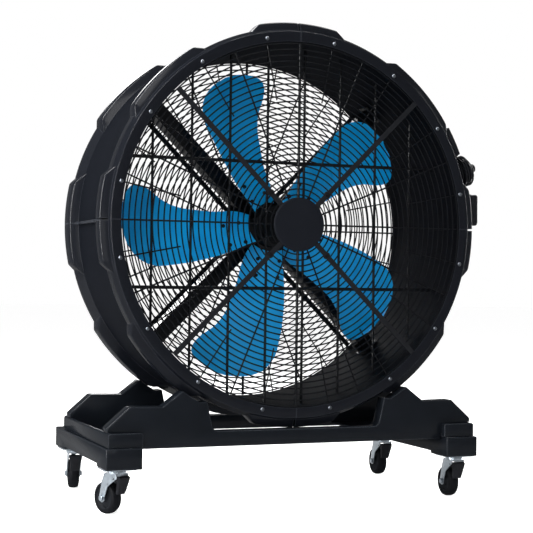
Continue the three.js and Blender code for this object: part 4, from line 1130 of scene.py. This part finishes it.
def motor_end_cap():
    """A dished cap over the motor's rear fan."""
    front = MOTOR_BACK + FIT
    back = front + MOTOR_CAP
    outline = [
        (0, front),
        (CAP_R, front),
        (CAP_R, back - 8),
        (CAP_TOP_R, back),
        (DISH_R, back),
        (DISH_R - 4, back - DISH),
        (0, back - DISH),
    ]
    mesh = turned_mesh(outline, 96, [0, 1, 6, 4, 1, 1, 0])
    settle("motor_end_cap", mesh, CAST_ENAMEL, "frame", ["motor_rear_cap"])


def ground_shaft():
    front, back = depths("motor_shaft")
    mesh = turned_mesh([(0, front), (SHAFT_R, front), (SHAFT_R, back), (0, back)], 48, [0, 1, 1, 0])
    settle("ground_shaft", mesh, GROUND_STEEL, "propeller", ["motor_shaft"])


guard_grid()
motor_housing()
motor_end_cap()
ground_shaft()
for corner in CORNERS:
    dressed("motor_arm_" + corner, POWDER_COAT, 1.2)

# ---- Propeller ----

BLADES = 5
FIRST_BLADE = 48
BLADE_THICK, BLADE_EDGE, BLADE_CAMBER = 5, 2, 9
BLADE_ROUNDING = 0.7
BLADE_REAR = 20
ROOT_PITCH, TIP_PITCH = 27, 13.5
# The pitch and the lead have their values of the tip from this part of the span on.
TWIST_END = 0.83
ROOT_LEAD, TIP_LEAD = 75, 205
ROOT_END_R = 180
BLADE_BOLTS = [(103, -30), (103, 30), (154, -30), (154, 30)]
# Radius, then the angle to the edge that trails and to the edge that leads
BLADE_OUTLINE = [
    (76, 26, -40),
    (110, 20, -36),
    (ROOT_END_R, 16, -26),
    (250, 12.5, -22.8),
    (300, 10.5, -22),
    (350, 8.5, -23.5),
    (400, 6.5, -26.8),
    (440, 2.5, -27.5),
    (465, -3, -25),
    (480, -11, -17),
]
ROWS_IN_STEP = 5
BLADE_COLUMNS = 20
CLAMP_R, CLAMP_DRAFT = 50, 2
CLAMP_DISH_R, CLAMP_DISH = 16, 1


def span(r):
    """How far out a radius is, from 0 at the root's end to 1 at the tip."""
    return max(0, (r - ROOT_END_R) / (BLADE_OUTLINE[-1][0] - ROOT_END_R))


def from_root_to_tip(r, root, tip):
    return root + (tip - root) * min(1, span(r) / TWIST_END)


def blade_slope(r):
    return math.tan(math.radians(from_root_to_tip(r, ROOT_PITCH, TIP_PITCH)))


def blade_middle(r):
    return BLADE_REAR - from_root_to_tip(r, ROOT_LEAD, TIP_LEAD) * blade_slope(r)


def spline_rows(table, steps):
    """A smooth curve through the table's rows."""
    rows = [Vector(row) for row in table]
    ends = [rows[0] * 2 - rows[1], *rows, rows[-1] * 2 - rows[-2]]
    for i in range(len(rows) - 1):
        a, b, c, d = ends[i : i + 4]
        for k in range(steps):
            t = k / steps
            yield 0.5 * (
                2 * b + (c - a) * t + (2 * a - 5 * b + 4 * c - d) * t**2 + (3 * b - a - 3 * c + d) * t**3
            )
    yield rows[-1]


def blade_sheets(bm, centre):
    """The points of the blade's front and back, in rows from the root to the tip."""
    front, back = [], []
    for r, trailing, leading in spline_rows(BLADE_OUTLINE, ROWS_IN_STEP):
        camber = BLADE_CAMBER * min(1, span(r) * 3)
        near, far = [], []
        for k in range(BLADE_COLUMNS + 1):
            across = k / BLADE_COLUMNS
            degrees = leading + (trailing - leading) * across
            bulge = 4 * across * (1 - across)
            y = blade_middle(r) - blade_slope(r) * polar(r, degrees)[1] + camber * bulge
            half = (BLADE_EDGE + (BLADE_THICK - BLADE_EDGE) * min(1, bulge * 1.4)) / 2
            x, z = polar(r, centre + degrees)
            near.append(bm.verts.new((x, y - half, z)))
            far.append(bm.verts.new((x, y + half, z)))
        front.append(near)
        back.append(far)
    return front, back


def blade(number):
    bm = bmesh.new()
    front, back = blade_sheets(bm, FIRST_BLADE + 360 / BLADES * (number - 1))
    for sheet in (front, back):
        for near, far in zip(sheet, sheet[1:]):
            for k in range(BLADE_COLUMNS):
                bm.faces.new((near[k], far[k], far[k + 1], near[k + 1]))
    rim = [(row, 0) for row in range(len(front))]
    rim += [(len(front) - 1, k) for k in range(1, BLADE_COLUMNS + 1)]
    rim += [(row, BLADE_COLUMNS) for row in range(len(front) - 2, -1, -1)]
    rim += [(0, k) for k in range(BLADE_COLUMNS - 1, 0, -1)]
    for (a, i), (b, j) in zip(rim, rim[1:] + rim[:1]):
        bm.faces.new((front[a][i], front[b][j], back[b][j], back[a][i]))
    bmesh.ops.recalc_face_normals(bm, faces=bm.faces)
    soften(bm, edges_over(bm.edges, 0.9), BLADE_ROUNDING)
    node = f"blade_{number}"
    mesh = mesh_of(bm, AT_DRUM)
    settle(node + "_moulded", mesh, BLADE_POLYPROPYLENE, "propeller", [node], sharp=40)


def blade_bolts():
    """Four bolts through each root, square to the tilted root plate."""
    places = []
    for k in range(BLADES):
        c, s = polar(1, FIRST_BLADE + 360 / BLADES * k)
        out, across = Vector((c, 0, s)), Vector((-s, 0, c))
        for r, t in BLADE_BOLTS:
            slope = blade_slope(r)
            facing = -(across * slope + REARWARD).normalized()
            point = out * r + across * t + REARWARD * (blade_middle(r) - slope * t)
            places.append((DRUM + (point + facing * BLADE_THICK / 2) * MM, facing))
    fasteners("blade_bolts", HEXAGON_M6, places, BLACK_OXIDE, "propeller")


def clamp_plate():
    """The turned plate that holds the hub on its shaft, with a shallow dish in its face."""
    face, seat = depths("hub_clamp_plate")
    outline = [
        (0, seat),
        (CLAMP_R, seat),
        (CLAMP_R - CLAMP_DRAFT, face),
        (CLAMP_DISH_R, face),
        (CLAMP_DISH_R - 4, face + CLAMP_DISH),
        (0, face + CLAMP_DISH),
    ]
    mesh = turned_mesh(outline, 64, [0, 0, 1.5, 1, 1, 0])
    settle("clamp_plate_turned", mesh, CAST_ENAMEL, "propeller", ["hub_clamp_plate"])


for index in range(BLADES):
    blade(index + 1)
blade_bolts()
dressed("blade_hub", CAST_ENAMEL, 1.5, sharp=35)
clamp_plate()

# ---- Cradle base ----

for end in ("front", "rear"):
    dressed("cradle_wall_" + end, BASE_POLYETHYLENE, 3)
for end in ("left", "right"):
    dressed("end_beam_" + end, BASE_POLYETHYLENE, 3)
    dressed("base_tray_" + end, BASE_POLYETHYLENE, 2)

# ---- Casters ----

WHEEL_R = 46
TREAD_HALF = 16
HUB_HALF = 18.7
TYRE_INNER_R = WHEEL_R - 14
# Where the pedal's pad starts, how near its pin it keeps its shape, and how far down it tapers
PAD_FROM, PIN_REACH, PAD_DROP = 8, 4, 40
PAD_TAPER, PAD_DRAW = 0.3, 0.26


def slim_pedal(mesh, place):
    """Draws the pad in towards its pin, and in from both sides towards its foot."""
    joint = JOINTS["brake_pedal_press_" + place]
    pin, axis = Vector(joint["pos_m"]), Vector(joint["axis"])
    offsets = [(v.co - pin) / MM for v in mesh.vertices]
    centre = sum(offsets, Vector()) / len(offsets)
    out = (centre - axis * centre.dot(axis)) * Vector((1, 1, 0))
    out.normalize()
    half = max(abs(offset.dot(axis)) for offset in offsets if offset.dot(out) > PAD_FROM)
    for v, offset in zip(mesh.vertices, offsets):
        sideways, outwards = offset.dot(axis), offset.dot(out)
        if abs(sideways) > half + FIT or offset.length < PIN_REACH and outwards < PAD_FROM:
            continue
        drop = min(max(-offset.z / PAD_DROP, 0), 1)
        v.co -= axis * sideways * PAD_TAPER * drop * MM
        v.co -= out * max(0, outwards - PAD_FROM) * PAD_DRAW * MM


def wheel_part(half, middle, radius, at):
    """A ring turned round the axle, from one half of its section, its middle and the mirror image."""
    section = [*half, *middle, *((r, -y) for r, y in reversed(half))]
    bm = bmesh.new()
    revolve(bm, round_corners(section, radius), 64)
    return mesh_of(bm, at)


def wheel(place):
    joint = JOINTS["wheel_spin_" + place]
    at = along(joint["axis"], Vector(joint["pos_m"]))
    node, body = "caster_wheel_" + place, "wheel_" + place
    tread = [
        (TYRE_INNER_R, -TREAD_HALF + 1),
        (TYRE_INNER_R + 5, -TREAD_HALF),
        (WHEEL_R - 3, -TREAD_HALF + 2),
        (WHEEL_R - 0.6, -8),
    ]
    tyre = wheel_part(tread, [(WHEEL_R, 0)], 2.5, at)
    settle("tyre_" + place, tyre, TYRE_RUBBER, body, [node])
    dished = [
        (4.8, -HUB_HALF),
        (11, -HUB_HALF),
        (13, -10),
        (26, -8),
        (29, -13),
        (TYRE_INNER_R + 0.5, -14),
    ]
    centre = wheel_part(dished, [], 1.2, at)
    settle("wheel_centre_" + place, centre, WHEEL_POLYPROPYLENE, body)


def caster(place):
    dressed("caster_plate_" + place, ZINC_PLATE, 0.8)
    dressed("caster_fork_" + place, ZINC_PLATE, 0.5)
    dressed("caster_axle_bolt_" + place, ZINC_PLATE, 0.5)
    pedal = "brake_pedal_" + place
    dressed(pedal, BLACK_NYLON, 3, reshape=lambda mesh: slim_pedal(mesh, place))
    wheel(place)


for place in CASTERS:
    caster(place)

# ---- Control box, knob, cover and post ----

LID_SCREW_INSET = 12
LID_SCREW = head_mesh([(-HEAD_SUNK, 3.6), (0.6, 3.6), (1.5, 3.1), (2, 1.8)], 12)


def lid_screws():
    low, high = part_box("control_box_lid")
    inset = LID_SCREW_INSET * MM
    places = [
        (Vector((high.x, y, z)), Vector((1, 0, 0)))
        for y in (low.y + inset, high.y - inset)
        for z in (low.z + inset, high.z - inset)
    ]
    fasteners("lid_screws", LID_SCREW, places, BLACK_OXIDE, "frame")


dressed("control_box_base", BLACK_NYLON, 1.5)
dressed("control_box_lid", BLACK_NYLON, 0.8)
dressed("terminal_cover", BLACK_NYLON, 1.2)
dressed("cord_post", BLACK_NYLON, 0.8)
dressed("speed_knob", BLACK_NYLON, 0.8)
lid_screws()

# ---- Floor, light and background, in metres and watts ----

FLOOR_SIZE = 30
FLOOR_GLOW = 0.75
ROOM_LIGHT = 0.22
WHITE, BLACK = (1, 1, 1, 1), (0, 0, 0, 1)
LOOK_AT = Vector((0, 0, 0.8))
SOFTBOXES = {
    # name: place, width and height, watts
    "top_front_softbox": ((-2.2, -3.0, 4.0), (1.6, 1.2), 105),
    "front_softbox": ((-0.9, -4.6, 1.4), (1.4, 1.4), 25),
    "left_front_softbox": ((-3.1, -3.5, 0.6), (1.1, 1.1), 20),
    "wide_left_softbox": ((-4.0, -0.4, 1.5), (1.2, 0.9), 80),
    "left_softbox": ((-3.4, 0.2, 1.9), (0.3, 2.6), 30),
    "upper_left_softbox": ((-2.6, -0.3, 3.5), (1.0, 1.0), 140),
    "right_strip": ((3.4, -1.6, 1.8), (0.14, 2.4), 15),
    "right_softbox": ((4.2, 0.9, 1.8), (1.4, 1.4), 55),
    "rear_softbox": ((0.9, 4.6, 2.3), (1.6, 1.6), 80),
}
RIM_STRIP_REACH, RIM_STRIP_SIZE = 3.4, (0.4, 2.2)
RIM_STRIPS = {
    # side: direction from the drum, watts
    "left": ((-0.92, -0.37, 0.12), 480),
    "upper_left": ((-0.6, -0.26, 0.76), 420),
    "top": ((0.25, 0.0, 0.97), 360),
    "right": ((0.92, 0.37, 0.1), 420),
    "back": ((0.05, 0.93, 0.36), 100),
}


def seen_by_camera(tree):
    """1 for what is seen, straight, in a gloss or through a clear thing, and 0 for what it lights."""
    rays = add_node(tree, "ShaderNodeLightPath").outputs
    seen = calc(tree, "MAXIMUM", rays["Is Camera Ray"], rays["Is Glossy Ray"])
    return calc(tree, "MAXIMUM", seen, rays["Is Transmission Ray"])


def floor_material():
    """Nearly white, with a glow that only what looks at it sees."""
    material = bpy.data.materials.new("pale_floor")
    material.use_nodes = True
    tree = material.node_tree
    shader = tree.nodes["Principled BSDF"]
    shader.inputs["Base Color"].default_value = linear("#f4f4f4")
    shader.inputs["Roughness"].default_value = 0.9
    shader.inputs["Specular IOR Level"].default_value = 0.1
    glow = output(tree, "ShaderNodeEmission", {"Color": WHITE, "Strength": FLOOR_GLOW})
    nothing = output(tree, "ShaderNodeEmission", {"Color": BLACK, "Strength": 0.0})
    shown = output(tree, "ShaderNodeMixShader", {0: seen_by_camera(tree), 1: nothing, 2: glow})
    both = output(tree, "ShaderNodeAddShader", {0: shader.outputs[0], 1: shown})
    feed(tree, tree.nodes["Material Output"].inputs["Surface"], both)
    return material


def pale_floor():
    """A pale floor that keeps the shadow."""
    bm = bmesh.new()
    bmesh.ops.create_grid(bm, x_segments=4, y_segments=4, size=FLOOR_SIZE)
    mesh = plain_mesh(bm)
    mesh.materials.append(floor_material())
    floor = bpy.data.objects.new("floor", mesh)
    bpy.context.scene.collection.objects.link(floor)


def white_background():
    """White to the camera, and a dimmer light to the room."""
    world = bpy.data.worlds.new("studio")
    bpy.context.scene.world = world
    world.use_nodes = True
    tree = world.node_tree
    background = tree.nodes["Background"]
    strength = ranged(tree, seen_by_camera(tree), 0.0, 1.0, ROOM_LIGHT, 1.0)
    background.inputs["Color"].default_value = WHITE
    feed(tree, background.inputs["Strength"], strength)


def softbox(name, at, size, power, gloss_only=False):
    """A soft area lamp that looks at the middle of the fan, or one that only its gloss sees."""
    data = bpy.data.lights.new(name, "AREA")
    data.shape = "RECTANGLE"
    data.size, data.size_y = size
    data.energy = power
    lamp = bpy.data.objects.new(name, data)
    lamp.location = at
    lamp.rotation_euler = (LOOK_AT - Vector(at)).to_track_quat("-Z", "Y").to_euler()
    lamp.visible_diffuse = not gloss_only
    bpy.context.scene.collection.objects.link(lamp)


pale_floor()
white_background()
for name, (at, extent, watts) in SOFTBOXES.items():
    softbox(name, at, extent, watts)
for side, (towards, watts) in RIM_STRIPS.items():
    at = DRUM + RIM_STRIP_REACH * Vector(towards)
    softbox(side + "_rim_strip", at, RIM_STRIP_SIZE, watts, gloss_only=True)
bpy.context.scene.view_settings.view_transform = "Standard"
